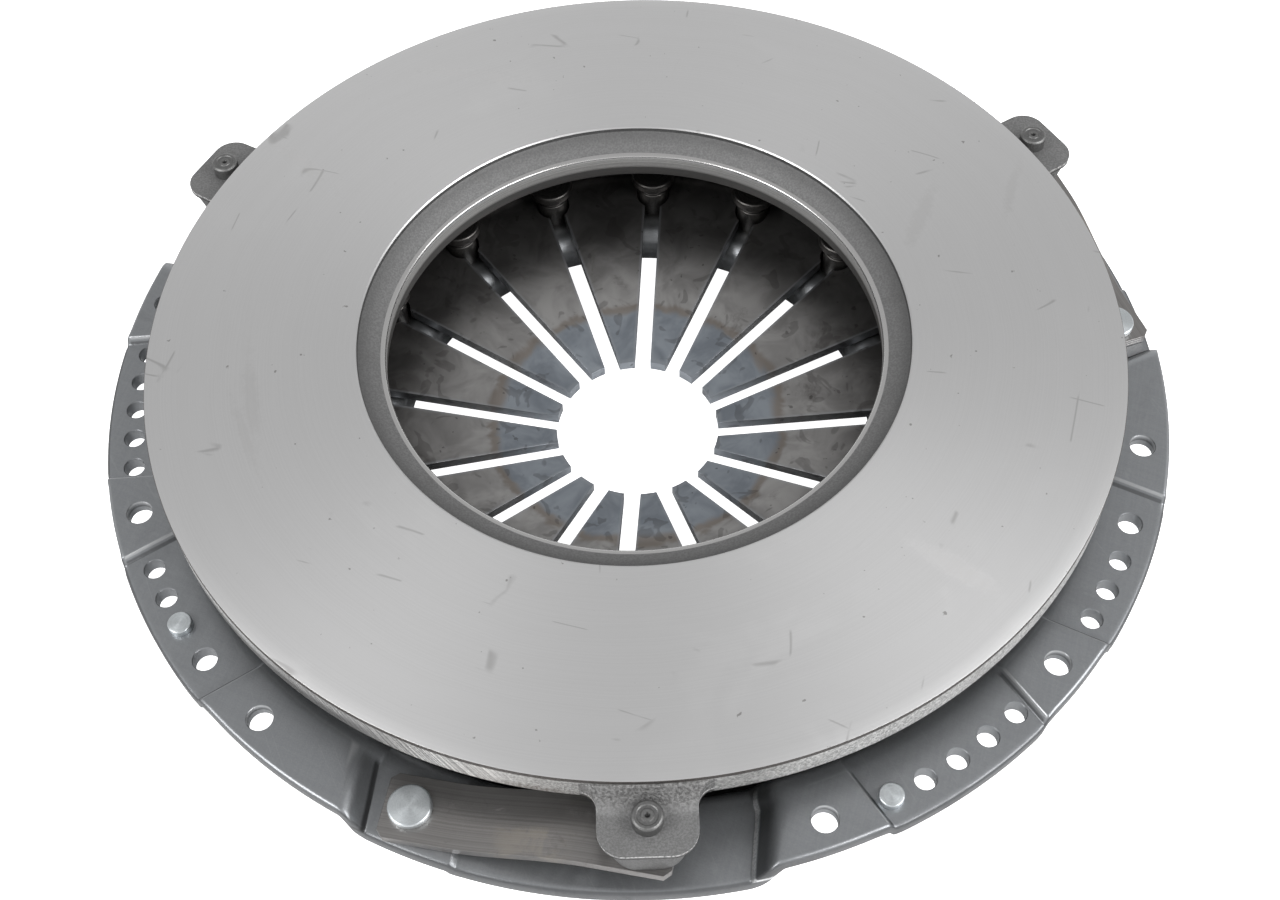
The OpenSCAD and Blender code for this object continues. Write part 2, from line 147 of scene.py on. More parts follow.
# Straps
STRAP_R = PLATE_R + 8.5
STRAP_SPAN = 24.3
STRAP_W = 21.0
LEAF_T = 1.1
LEAF_GAP = 0.05
LEAVES = 3
SEAT = 0.15
ANCHOR_ANGLE = LUG_ANGLE - STRAP_SPAN
STRAP_CHORD = 2 * STRAP_R * sin(radians(STRAP_SPAN / 2))
PACK_T = LEAVES * LEAF_T + (LEAVES - 1) * LEAF_GAP
STRAP_RISE = LUG_LOW_Z - PACK_T + PLATFORM - 2 * SEAT
STRAP_TURN = radians(90 + STRAP_SPAN / 2)
LEAF_END = 8.5
LEAF_CLIP = 2.2
RISE_START = 10.9
RISE_STOP = STRAP_CHORD - LUG_W / 2 - 1


# Curves in a plane

def unit(v):
    """Vectors over their own length."""
    return v / np.linalg.norm(v, axis=-1, keepdims=True)


def filleted(corners, radii, counts):
    """A polyline with its inner corners made arcs: an arc's centre lies on the corner's bisector, its
    radius over the sine of half the corner's angle away. A radius of 0 keeps the corner."""
    corners = np.asarray(corners, float)
    counts = np.broadcast_to(counts, len(radii))
    path = [corners[:1]]
    for before, corner, after, radius, count in zip(corners, corners[1:], corners[2:], radii, counts):
        a, b = unit(before - corner), unit(after - corner)
        half = np.arccos(np.clip(a @ b, -1, 1)) / 2
        if radius == 0:
            path.append(corner[None])
            continue
        centre = corner + unit(a + b) * radius / sin(half)
        start = corner + a * radius / tan(half) - centre
        side = np.sign(-a[0] * b[1] + a[1] * b[0])
        turn = (np.linspace(0, 1, count + 1) * (pi - 2 * half) * side)[:, None]
        path.append(centre + start * np.cos(turn) + np.array([-start[1], start[0]]) * np.sin(turn))
    path.append(corners[-1:])
    return np.vstack(path)


def moved(corners, distance):
    """The corners of a line beside a polyline: each moves by distance (n + m) / (1 + n.m), where n and m
    point left of its two sides."""
    corners = np.asarray(corners, float)
    along = unit(np.diff(corners, axis=0))
    left = np.stack([-along[:, 1], along[:, 0]], -1)
    before, after = np.vstack([left[:1], left]), np.vstack([left, left[-1:]])
    return corners + distance * (before + after) / (1 + np.sum(before * after, 1, keepdims=True))


def divided(path, counts):
    """The same polyline with each stretch cut into its count of equal steps."""
    parts = [a + (b - a) * np.linspace(0, 1, count, endpoint=False)[:, None]
             for a, b, count in zip(path, path[1:], counts)]
    return np.vstack(parts + [path[-1:]])


def steps_in(path, step):
    """How many steps each stretch needs so that none is longer than step."""
    return np.maximum(1, np.ceil(np.linalg.norm(np.diff(path, axis=0), axis=1) / step)).astype(int)


def spaced(path, step):
    """The same polyline with no stretch longer than step."""
    return divided(path, steps_in(path, step))


def smooth(u):
    """Goes from 0 to 1 as u does, and starts and ends level: 3u^2 - 2u^3."""
    u = np.clip(u, 0, 1)
    return u * u * (3 - 2 * u)


# Surfaces as grids of points

def grid(rows, columns, wrap_rows=False, wrap_columns=False):
    """The quads of a grid of points that are numbered row by row."""
    i, j = np.ogrid[:rows - (not wrap_rows), :columns - (not wrap_columns)]
    below, right = (i + 1) % rows, (j + 1) % columns
    corners = [i * columns + j, i * columns + right, below * columns + right, below * columns + j]
    return np.stack(corners, -1).reshape(-1, 4)


def surface(points, wrap_rows=False, wrap_columns=False):
    """Rows and columns of points as one list, with their quads."""
    return points.reshape(-1, 3), grid(*points.shape[:2], wrap_rows, wrap_columns)


def stitched(parts):
    """Several (points, quads) as one."""
    starts = np.cumsum([0] + [len(points) for points, _ in parts[:-1]])
    quads = [quads + start for (_, quads), start in zip(parts, starts)]
    return np.vstack([points for points, _ in parts]), np.vstack(quads)


def sheet(upper, lower, quads):
    """A sheet from two sides that share one grid. Upper points that meet become one, with the lower ones
    under them: they lie in one cell of a lattice, shifted so that no round size is on a cell's border. The
    lower quads are turned over, and a wall stands on each edge that one quad alone has."""
    cells = np.round(upper / MERGE + 0.137).astype(int)
    _, keep, place = np.unique(cells, axis=0, return_index=True, return_inverse=True)
    quads, total = place.ravel()[quads], len(keep)
    edges = np.concatenate([quads[:, [k, (k + 1) % 4]] for k in range(4)])
    low, high = edges.min(1), edges.max(1)
    _, first, uses = np.unique(low * total + high, return_index=True, return_counts=True)
    a, b = edges[first[uses == 1]].T
    walls = np.stack([b, a, a + total, b + total], -1)
    return np.vstack([upper[keep], lower[keep]]), np.vstack([quads, quads[:, ::-1] + total, walls])


def turned(profile, angles=np.linspace(0, 360, 48, endpoint=False)):
    """A profile of (r, z) carried round the axis: x is r cos a, y is r sin a."""
    a = np.radians(angles)
    r, z = np.asarray(profile, float).T
    return np.stack([np.outer(np.cos(a), r), np.outer(np.sin(a), r), np.tile(z, (len(a), 1))], -1)


def at(points, angle, radius=0.0, z=0.0):
    """Points moved out along +X by radius and up by z, then turned about the axis by angle."""
    a = radians(angle)
    x, y = points[..., 0] + radius, points[..., 1]
    return np.stack([x * cos(a) - y * sin(a), x * sin(a) + y * cos(a), points[..., 2] + z], -1)


def repeated(part, places):
    """Copies of one (points, quads) at several (angle, radius)."""
    return stitched([(at(part[0], angle, radius), part[1]) for angle, radius in places])


def make_piece(name, part, materials, body, nodes, sharp=40.0, choose=None, axes=None):
    """A piece from (points, quads), with its faces outwards. choose gives each face's material from its
    centre. axes are the (angle, radius) of the axes that turned pieces stand on: each point then keeps
    its place from the nearest one as the attribute own_axis."""
    mesh = bpy.data.meshes.new(name)
    mesh.from_pydata((part[0] * MM).tolist(), [], part[1].tolist())
    bm = bmesh.new()
    bm.from_mesh(mesh)
    bmesh.ops.remove_doubles(bm, verts=bm.verts, dist=2e-6)
    bmesh.ops.dissolve_degenerate(bm, edges=bm.edges, dist=1e-7)
    bmesh.ops.recalc_face_normals(bm, faces=bm.faces)
    bm.to_mesh(mesh)
    bm.free()
    mesh.shade_smooth()
    mesh.set_sharp_from_angle(angle=radians(sharp))
    for material in materials:
        mesh.materials.append(material)
    if choose:
        centres = np.empty(len(mesh.polygons) * 3)
        mesh.polygons.foreach_get("center", centres)
        mesh.polygons.foreach_set("material_index", choose(centres.reshape(-1, 3) / MM))
    if axes:
        points = np.empty(len(mesh.vertices) * 3)
        mesh.vertices.foreach_get("co", points)
        points = points.reshape(-1, 3) / MM
        stands = np.array([at(np.zeros(3), *axis) for axis in axes])
        nearest = np.argmin(np.linalg.norm((points[:, None] - stands)[..., :2], axis=-1), axis=1)
        own_axis = mesh.attributes.new("own_axis", "FLOAT_VECTOR", "POINT")
        own_axis.data.foreach_set("vector", (points - stands[nearest]).ravel())
    piece = bpy.data.objects.new(name, mesh)
    bpy.context.scene.collection.objects.link(piece)
    if body:
        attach(piece, body)
    if nodes:
        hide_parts(*nodes)
    return piece


def round_edges(piece, width, segments=2, angle=40.0):
    """Rounds the edges whose faces meet at more than the angle."""
    bevel = piece.modifiers.new("round", "BEVEL")
    bevel.width = width * MM
    bevel.segments = segments
    bevel.limit_method = "ANGLE"
    bevel.angle_limit = radians(angle)
    bevel.use_clamp_overlap = True
    normals = piece.modifiers.new("normals", "WEIGHTED_NORMAL")
    normals.keep_sharp = True
    normals.weight = 80


# Materials: patterns read the piece's own place in millimetres

class Net:
    """Puts nodes and their links into one tree. An input takes a number, a colour or a node's output."""

    def __init__(self, tree):
        self.tree = tree

    def feed(self, socket, value):
        if isinstance(value, bpy.types.NodeSocket):
            self.tree.links.new(value, socket)
        else:
            socket.default_value = value

    def put(self, kind, inputs=(), **settings):
        node = self.tree.nodes.new(kind if kind.startswith("Node") else "ShaderNode" + kind)
        for name, value in settings.items():
            setattr(node, name, value)
        for name, value in dict(inputs).items():
            self.feed(node.inputs[name], value)
        return node

    def use(self, group, place, **inputs):
        """A node group at a place: its one output, or all of them."""
        outputs = list(self.put("Group", {"Place": place, **inputs}, node_tree=group).outputs)
        return outputs if len(outputs) > 1 else outputs[0]

    def paint(self, **values):
        """Feeds the material's shader. Each name is a socket's, in small letters."""
        for name, value in values.items():
            self.feed(self.tree.nodes["Principled BSDF"].inputs[name.replace("_", " ").title()], value)

    def math(self, operation, *values):
        return self.put("Math", enumerate(values), operation=operation).outputs[0]

    def product(self, *values):
        return reduce(lambda a, b: self.math("MULTIPLY", a, b), values)

    def highest(self, values):
        return reduce(lambda a, b: self.math("MAXIMUM", a, b), values)

    def plus(self, value, other, share=1.0):
        return self.math("MULTIPLY_ADD", other, share, value)

    def apart(self, a, b):
        """How far one number is from the other."""
        return self.math("ABSOLUTE", self.math("SUBTRACT", a, b))

    def between(self, value, low, high, start=0.0, end=1.0):
        """Goes from start to end as the value goes from low to high, smoothly, and stays there outside."""
        values = enumerate((value, low, high, start, end))
        return self.put("MapRange", values, interpolation_type="SMOOTHSTEP").outputs[0]

    def within(self, value, low, from_low, to_high, high):
        """0 up to low, 1 between the two middle numbers, and 0 again past high."""
        return self.product(self.between(value, low, from_low), self.between(value, high, to_high))

    def vector(self, operation, *values):
        return self.put("VectorMath", enumerate(values), operation=operation).outputs[0]

    def parts(self, vector):
        return list(self.put("SeparateXYZ", {0: vector}).outputs)

    def flat(self, vector):
        return self.vector("MULTIPLY", vector, (1, 1, 0))

    def length(self, vector):
        return self.put("VectorMath", {0: vector}, operation="LENGTH").outputs[1]

    def scaled(self, vector, factor):
        return self.put("VectorMath", {0: vector, 3: factor}, operation="SCALE").outputs[0]

    def divided(self, vector, x, y, z):
        return self.vector("DIVIDE", vector, self.put("CombineXYZ", enumerate((x, y, z))).outputs[0])

    def turned(self, vector, angle):
        return self.put("VectorRotate", {"Vector": vector, "Angle": angle}, rotation_type="Z_AXIS").outputs[0]

    def noise(self, place, detail, roughness=0.5, distortion=0.0):
        return self.put("TexNoise", {"Vector": place, "Scale": 1.0, "Detail": detail, "Roughness": roughness,
                                     "Distortion": distortion}).outputs[0]

    def line_noise(self, value, detail):
        """A noise of one number alone, such as a height or a radius."""
        values = {"W": value, "Scale": 1.0, "Detail": detail}
        return self.put("TexNoise", values, noise_dimensions="1D").outputs[0]

    def mix(self, share, a, b):
        a, b = ((*c, 1) if isinstance(c, tuple) else c for c in (a, b))
        return self.put("Mix", {0: share, 6: a, 7: b}, data_type="RGBA").outputs[2]

    def layered(self, colour, *layers):
        """A colour with tints laid over it one after the other. Each layer is its tint and the masks and
        shares whose product lets it show."""
        for tint, *masks in layers:
            colour = self.mix(self.product(*masks), colour, tint)
        return colour

    def bump(self, height, depth):
        """A relief of that depth in millimetres."""
        return self.put("Bump", {"Height": height, "Strength": 1.0, "Distance": depth * MM}).outputs[0]


def new_group(name, outputs, **inputs):
    """A node group that reads a place and its other named inputs, whose defaults tell a place from a
    number, and gives named outputs."""
    tree = bpy.data.node_groups.new(name, "ShaderNodeTree")
    for label, default in {"Place": (0, 0, 0), **inputs}.items():
        kind = "NodeSocketVector" if isinstance(default, tuple) else "NodeSocketFloat"
        tree.interface.new_socket(label, in_out="INPUT", socket_type=kind).default_value = default
    for label in outputs:
        tree.interface.new_socket(label, in_out="OUTPUT", socket_type="NodeSocketFloat")
    net = Net(tree)
    given = net.put("NodeGroupInput").outputs
    return net, given["Place"], given, net.put("NodeGroupOutput").inputs


def make_speckle():
    """Fine uneven grain, from 0 to 1, with lumps of one size."""
    net, place, given, result = new_group("speckle", ["Value"], Size=1.0)
    value = net.noise(net.scaled(place, net.math("DIVIDE", 1.0, given["Size"])), 4, 0.6)
    net.feed(result["Value"], net.between(value, 0.32, 0.68))
    return net.tree


def make_streaks():
    """Long soft streaks at an angle, from 0 to 1."""
    net, place, given, result = new_group("streaks", ["Value"], Angle=0.0, Length=40.0, Width=2.0)
    place = net.divided(net.turned(place, given["Angle"]), given["Length"], given["Width"], given["Width"])
    net.feed(result["Value"], net.between(net.noise(place, 3, 0.6), 0.35, 0.65))
    return net.tree


def make_scratches():
    """Thin broken lines at an angle: where a stretched noise crosses its middle value, and a second
    noise lets it show."""
    net, place, given, result = new_group("scratches", ["Mask"], Angle=0.0, Spacing=12.0, Amount=0.4)
    stretched = net.divided(net.turned(place, given["Angle"]), 160.0, given["Spacing"], 40.0)
    line = net.between(net.apart(net.noise(stretched, 2), 0.5), 0.009, 0.0)
    limit = net.plus(0.72, given["Amount"], -0.4)
    shown = net.between(net.noise(net.scaled(place, 0.045), 2), limit, net.plus(limit, 0.05))
    net.feed(result["Mask"], net.product(line, shown))
    return net.tree


def make_smear():
    """One wiped or stained patch: a long soft oval with a frayed edge, from 1 inside to 0."""
    inputs = {"Centre": (0, 0, 0), "Angle": 0.0, "Length": 30.0, "Width": 8.0}
    net, place, given, result = new_group("smear", ["Mask"], **inputs)
    near = net.turned(net.vector("SUBTRACT", place, given["Centre"]), given["Angle"])
    oval = net.length(net.divided(near, given["Length"], given["Width"], 1000.0))
    fray = net.math("SUBTRACT", net.noise(net.scaled(place, 0.16), 4, 0.65), 0.5)
    net.feed(result["Mask"], net.between(net.plus(oval, fray, 1.5), 1.0, 0.25))
    return net.tree


def make_turning():
    """Rings left by turning or grinding, from 0 to 1: a noise of the radius alone."""
    net, place, given, result = new_group("turning", ["Value"], Pitch=1.0, Wander=0.0)
    radius = net.plus(net.length(net.flat(place)), net.noise(net.scaled(place, 0.02), 2), given["Wander"])
    value = net.line_noise(net.math("DIVIDE", radius, given["Pitch"]), 3)
    net.feed(result["Value"], net.between(value, 0.3, 0.7))
    return net.tree


def make_grime():
    """Uneven dark film, from 0 to 1, on the share of the surface that Amount gives."""
    net, place, given, result = new_group("grime", ["Mask"], Size=20.0, Amount=0.5)
    value = net.noise(net.scaled(place, net.math("DIVIDE", 1.0, given["Size"])), 6, 0.68, 0.4)
    start = net.plus(0.74, given["Amount"], -0.42)
    net.feed(result["Mask"], net.between(value, start, net.plus(start, 0.16)))
    return net.tree


def make_third():
    """Where a point lies in its third of the part: its radius, and its direction in degrees, folded back
    into the first third."""
    net, place, _, result = new_group("third", ["Radius", "Direction"])
    x, y, _ = net.parts(place)
    turn = net.product(net.math("ARCTAN2", y, x), degrees(1))
    folded = net.math("MODULO", net.plus(turn, 6 * THIRD - THIRD_START), THIRD)
    net.feed(result["Radius"], net.length(net.flat(place)))
    net.feed(result["Direction"], net.plus(folded, THIRD_START))
    return net.tree


speckle, streaks, scratches, smear = make_speckle(), make_streaks(), make_scratches(), make_smear()
turning, grime, third = make_turning(), make_grime(), make_third()


def new_material(name, metallic, roughness, anisotropic=0.0, attribute=None):
    """A metal. Where it is brushed, the fine rings run round the part's axis or its own, so its sheen
    spreads outwards from the axis. Gives the material, its net and the place in millimetres."""
    material = bpy.data.materials.new(name)
    material.use_nodes = True
    net = Net(material.node_tree)
    net.paint(metallic=metallic, roughness=roughness)
    if attribute:
        place = net.put("Attribute", attribute_name=attribute).outputs["Vector"]
    else:
        place = net.scaled(net.put("TexCoord").outputs["Object"], 1 / MM)
    if anisotropic:
        net.paint(anisotropic=anisotropic, tangent=net.vector("NORMALIZE", net.flat(place)))
    return material, net, place


def make_ground_face():
    """Ground friction face: fine rings, wiped smears, a few scratches and small dark spots."""
    material, net, place = new_material("ground_friction_face", 1.0, 0.4, 0.56)
    fine = net.use(turning, place, Pitch=0.5, Wander=3.0)
    broad = net.use(turning, place, Pitch=6.0, Wander=20.0)
    cloud = net.use(grime, place, Size=46.0, Amount=0.5)
    smears = [(-129, -25, 1.4, 30, 4), (-129, -41, 1.2, 22, 3), (-122, 85, 0.8, 26, 4), (-57, 127, 0.2, 30, 4),
              (105, 45, 2.0, 22, 4), (139, 55, 1.9, 20, 3), (96, -100, 0.7, 22, 5)]
    wiped = net.highest(net.use(smear, place, Centre=(x, y, FACE_Z), Angle=angle, Length=length, Width=width)
                        for x, y, angle, length, width in smears)
    lines = net.highest(net.use(scratches, place, Angle=angle, Spacing=spacing, Amount=0.3)
                        for angle, spacing in ((0.4, 26.0), (1.9, 34.0), (2.8, 41.0)))
    spots = net.between(net.noise(net.scaled(place, 0.33), 2), 0.74, 0.775)
    colour = net.layered(
        net.mix(fine, (0.737, 0.736, 0.738), (0.757, 0.756, 0.758)),
        ((0.69, 0.686, 0.683), broad, 0.12),
        ((0.655, 0.652, 0.65), cloud, 0.1),
        ((0.45, 0.445, 0.44), wiped, 0.26),
        ((0.4, 0.395, 0.39), lines, 0.5),
        ((0.2, 0.19, 0.18), spots, 0.6))
    roughness = net.plus(net.plus(net.between(cloud, 0.0, 1.0, 0.42, 0.45), wiped, 0.1), fine, 0.02)
    net.paint(base_color=colour, roughness=roughness, normal=net.bump(net.plus(fine, lines, -0.8), 0.002))
    return material


def make_turned_rim():
    """Turned rim of the plate: slanting cutter marks on one stretch, painted darker towards one end as shade,
    and rough iron elsewhere, darker beside the lugs. Left of one lug the lower half is painted dark as shadow
    beside a rust stain, and a dark line painted under the face's edge stands for the shade of the step there."""
    material, net, place = new_material("turned_rim", 0.7, 0.42)
    x, y, height = net.parts(place)
    turn = net.math("ARCTAN2", y, x)
    direction = net.product(turn, degrees(1))
    slant = net.plus(net.product(turn, PLATE_R), height, 0.55)
    cut = net.between(net.line_noise(net.product(slant, 0.85), 2), 0.43, 0.57)
    cut_stretch = net.within(direction, -137.0, -131.0, -107.0, -103.0)
    rings = net.between(net.line_noise(net.product(height, 1.6), 3), 0.35, 0.65)
    grain = net.use(speckle, place, Size=0.9)
    stain = net.use(grime, place, Size=14.0, Amount=0.45)
    hatch_marks_and_shade = net.layered(
        net.mix(cut, (0.3, 0.29, 0.282), (0.98, 0.96, 0.935)),
        # Painted shade: the cutter marks turn darker towards one end of their stretch, where the rim falls into
        # shadow
        (net.mix(cut, (0.06, 0.058, 0.056), (0.38, 0.37, 0.362)),
         net.between(direction, -108.0, -122.0, 0.0, 0.9)))
    beside_lug = net.between(net.apart(net.use(third, place)[1], LUG_ANGLE), 16.0, 10.0, 0.0, 0.85)
    rough_iron = net.layered(
        net.mix(grain, (0.3, 0.297, 0.292), (0.8, 0.795, 0.785)),
        (net.mix(grain, (0.12, 0.118, 0.116), (0.5, 0.497, 0.49)), beside_lug))
    colour = net.layered(
        net.mix(rings, (0.5, 0.5, 0.495), (0.66, 0.66, 0.65)),
        ((0.2, 0.19, 0.18), stain, 0.5),
        (hatch_marks_and_shade, cut_stretch, 0.75),
        (rough_iron, net.between(cut_stretch, 0.0, 1.0, 0.75, 0.25)),
        # Painted shadow: the lower half of the rim left of one lug is painted almost black
        ((0.05, 0.048, 0.047), net.within(direction, -150.0, -144.0, -124.0, -116.0),
         net.between(height, FACE_Z - 4.0, FACE_Z - 8.0), 0.7),
        ((0.13, 0.11, 0.097), net.within(direction, -109.0, -103.0, -101.0, -96.0),
         net.between(height, FACE_Z - 6.0, FACE_Z - 9.0), net.between(grain, 0.2, 0.7, 0.75, 0.35)),
        # Painted shade: a dark line at the top of the rim, under the face's edge, stands in for the step's
        # shade and damps the edge's highlight
        ((0.06, 0.052, 0.048), net.between(height, FACE_Z - 1.7, FACE_Z - 1.3), 0.9))
    relief = net.plus(grain, net.product(cut, cut_stretch), 0.8)
    net.paint(base_color=colour, roughness=net.between(grain, 0.0, 1.0, 0.4, 0.56),
              normal=net.bump(relief, 0.16))
    return material


def make_turned_bore():
    """Bored wall of the plate's opening, with rings one above the other, a smoother edge painted lighter as a
    highlight and a foot painted dark as shade.
    """
    material, net, place = new_material("turned_bore", 0.95, 0.4)
    height = net.parts(place)[2]
    rings = net.line_noise(net.product(height, 2.4), 3)
    grain = net.use(speckle, place, Size=0.8)
    edge = net.between(height, FACE_Z - 7.2, FACE_Z - 6.6)
    colour = net.layered(
        net.mix(net.between(rings, 0.35, 0.65), (0.3, 0.295, 0.29), (0.46, 0.455, 0.445)),
        ((0.2, 0.195, 0.19), grain, 0.25),
        # Painted shade: the wall deep in the bore is painted nearly black
        ((0.035, 0.033, 0.031), net.between(height, FACE_Z - 11.0, FACE_Z - 12.5), 0.9),
        # Painted highlight: the lip's edge gets a lighter colour, besides its smoother, more metallic finish
        ((0.62, 0.615, 0.61), edge))
    relief = net.plus(net.product(rings, net.between(edge, 0.0, 1.0, 1.0, 0.1)), grain, 0.1)
    net.paint(base_color=colour, metallic=net.between(edge, 0.0, 1.0, 0.3, 0.95),
              roughness=net.between(edge, 0.0, 1.0, 0.5, 0.24), normal=net.bump(relief, 0.015))
    return material


def make_cast_iron():
    """Sand cast iron: coarse and fine grain, dark in the pits, and painted shade in the recess beside the bore.
    A lug has a rough root, walls painted darker than its top as shade, a painted shadow under the step at its
    parting line, and a bright upper edge that is wear and painted highlight."""
    material, net, place = new_material("cast_iron", 0.75, 0.55)
    coarse, fine, rough = (net.use(speckle, place, Size=size) for size in (0.7, 0.28, 0.9))
    film = net.use(grime, place, Size=18.0, Amount=0.5)
    radius, _ = net.use(third, place)
    level = net.plus(net.parts(place)[2], -LUG_TOP_Z)
    on_lug = net.between(radius, BACK_R + 1, BACK_R + 4)
    root = net.product(on_lug, net.between(radius, PLATE_R + 7, PLATE_R + 2))
    grit = net.plus(net.product(coarse, 0.7), fine, 0.3)
    colour = net.layered(
        net.mix(net.between(grit, 0.2, 0.85), (0.2, 0.2, 0.2), (0.27, 0.27, 0.27)),
        ((0.15, 0.147, 0.143), film, 0.25),
        (net.mix(rough, (0.12, 0.118, 0.116), (0.36, 0.358, 0.355)), root, 0.8),
        # Painted shade: the lug's walls below its top are painted darker than the top
        ((0.08, 0.08, 0.08), on_lug, net.between(level, -1.0, -1.3), 0.35),
        # Painted shadow: a dark band under the lug's parting step
        ((0.03, 0.029, 0.028), on_lug, net.within(level, -2.9, -2.5, -1.6, -1.3), 0.85),
        # Wear and painted highlight: a bright speckled line along the lug's upper edge
        ((0.75, 0.745, 0.74), on_lug, net.within(level, -0.9, -0.6, -0.1, -0.02),
         net.between(coarse, 0.3, 0.6)),
        # Painted shade: the recess beside the bore is painted darker, most towards its outer edge
        ((0.1, 0.1, 0.1), net.between(radius, RECESS_R + 2, RECESS_R),
         net.between(radius, BORE_R + 3, RECESS_R - 0.5, 0.2, 0.6)))
    relief = net.product(net.plus(grit, net.product(rough, root), 1.5),
                         net.between(radius, RECESS_R, RECESS_R + 2, 0.45, 1.0))
    net.paint(base_color=colour, roughness=net.between(fine, 0.0, 1.0, 0.42, 0.66),
              normal=net.bump(relief, 0.07))
    return material


def make_pressed_sheet():
    """Cover sheet: a dark satin coat with drawn streaks, its rounded rim painted darker as shade. The coined
    reliefs have a painted highlight along their upper edges and painted shade at their feet, the pockets
    painted shade in the crease at the strap, and painted shade on the slope with a painted highlight along its
    foot on the other side. The bowl is painted dark inside as shade."""
    material, net, place = new_material("pressed_sheet", 0.85, 0.4)
    radius, direction = net.use(third, place)
    height = net.parts(place)[2]
    grain = net.use(speckle, place, Size=0.6)
    drawn = net.use(streaks, place, Angle=0.5, Length=30.0, Width=1.4)
    cross = net.use(streaks, place, Angle=1.9, Length=24.0, Width=1.1)
    film = net.use(grime, place, Size=26.0, Amount=0.5)
    lines = net.use(scratches, place, Angle=1.2, Spacing=14.0, Amount=0.55)

    def above(level, *heights):
        return net.within(height, *(level + h for h in heights))

    flange = net.between(radius, 165.0, 167.0)
    reliefs = net.product(net.between(net.apart(direction, POCKET_ANGLE), 24.0, 25.0),
                          net.between(radius, FLANGE_R - 1.2, FLANGE_R - 2), flange)
    strap_side = net.product(net.between(direction, LUG_ANGLE, LUG_ANGLE - 1), flange)
    far_side = net.product(net.within(direction, LUG_ANGLE + 9, LUG_ANGLE + 10, LUG_ANGLE + 15, LUG_ANGLE + 17),
                           net.between(radius, 158.0, 163.0))
    bowl = net.product(net.within(height, OUTER_FLOOR_Z - 2.6, OUTER_FLOOR_Z - 0.9, -20.0, -14.0),
                       net.between(radius, 158.0, 152.0), net.between(radius, 95.5, 99.0, 0.25, 1.0))
    colour = net.layered(
        net.mix(net.product(net.plus(drawn, cross), 0.5), (0.32, 0.332, 0.347), (0.35, 0.362, 0.377)),
        ((0.22, 0.227, 0.236), film, 0.35),
        ((0.2, 0.205, 0.21), grain, 0.15),
        ((0.5, 0.51, 0.52), lines, 0.15),
        # Painted shade: the cover's rounded rim is painted darker, damping its highlight
        ((0.08, 0.082, 0.085), net.between(radius, FLANGE_R - 1.3, FLANGE_R - 0.6, 0.0, 0.7)),
        # Painted highlight: a light line along the upper edge of each coined step
        ((0.7, 0.71, 0.72), reliefs, above(0, -1.2, -0.7, -0.15, -0.02), 0.6),
        # Painted shade: a dark line at the foot of each coined step
        ((0.07, 0.071, 0.073), reliefs, above(-RELIEF, 0.01, 0.1, 0.8, 1.4), 0.6),
        # Painted shade: a dark crease where the pocket's slope meets the platform beside the strap
        ((0.05, 0.05, 0.051), strap_side, above(-PLATFORM, 0.03, 0.3, 1.2, 2.4), 0.8),
        # Painted shade: the slope on the far side of the pocket is painted darker
        ((0.06, 0.061, 0.063), far_side, above(-PLATFORM, 0.1, 1.0, 3.5, 7.0), 0.55),
        # Painted highlight: a light line along the foot of the pocket's far wall
        ((0.9, 0.91, 0.92), far_side, above(-POCKET, 0.03, 0.3, 1.3, 2.1),
         net.between(grain, 0.2, 0.5, 0.6, 1.0)),
        # Painted shade: the bowl is painted dark inside, under the spring and plate, less so at the lip
        ((0.045, 0.043, 0.04), bowl, 0.85))
    net.paint(base_color=colour, roughness=net.between(film, 0.0, 1.0, 0.36, 0.46),
              normal=net.bump(net.plus(grain, drawn, 0.1), 0.012))
    return material


def make_spring_steel():
    """Spring steel, oiled: fingers painted dark outwards as shade under the plate and lighter inwards, with
    blue-grey hardened tips behind a straw-coloured ring, bright edges at the slots and tips, dark film, drops
    and stains."""
    material, net, place = new_material("spring_steel", 0.9, 0.38)
    radius, _ = net.use(third, place)
    x, y, _ = net.parts(place)
    pitch = 2 * pi / FINGERS
    turn = net.plus(net.math("ARCTAN2", y, x), 2 * pi + pitch / 2 - radians(SLOT_ANGLE) % pitch)
    off = net.apart(net.math("MODULO", turn, pitch), pitch / 2)
    beside_slot = net.product(radius, net.math("SINE", off))
    slot_edge = net.product(net.between(beside_slot, 4.2, 3.3), net.between(radius, 99.0, 97.0))
    blotch = net.between(net.noise(net.scaled(place, 0.07), 3, 0.6, 0.6), 0.3, 0.7)
    drops = net.between(net.noise(net.scaled(place, 0.3), 2), 0.71, 0.75)
    stain = net.between(net.noise(net.scaled(place, 0.1), 2, 0.5, 1.0), 0.6, 0.64)
    film = net.use(grime, place, Size=20.0, Amount=0.4)
    grain = net.use(speckle, place, Size=0.5)
    frayed = net.plus(radius, blotch, 3.0)
    colour = net.layered(
        net.mix(blotch, (0.085, 0.082, 0.08), (0.15, 0.146, 0.143)),
        # Painted light and shade: the fingers stay dark outwards, in the plate's shade, and are painted lighter
        # inwards
        (net.mix(blotch, (0.27, 0.264, 0.26), (0.41, 0.403, 0.397)), net.between(radius, 92.0, 58.0)),
        ((0.065, 0.058, 0.053), film, 0.5),
        ((0.2, 0.165, 0.135), net.between(frayed, 58.0, 55.5), 0.6),
        (net.mix(blotch, (0.225, 0.25, 0.283), (0.345, 0.378, 0.418)), net.between(frayed, 55.0, 51.5)),
        ((0.4, 0.42, 0.45), net.highest((slot_edge, net.between(radius, 32.5, 31.0))), 0.35),
        ((0.045, 0.04, 0.038), net.highest((drops, net.product(stain, 0.65))), 0.5))
    net.paint(base_color=colour, roughness=net.between(film, 0.0, 1.0, 0.33, 0.46),
              normal=net.bump(net.plus(grain, drops), 0.01))
    return material


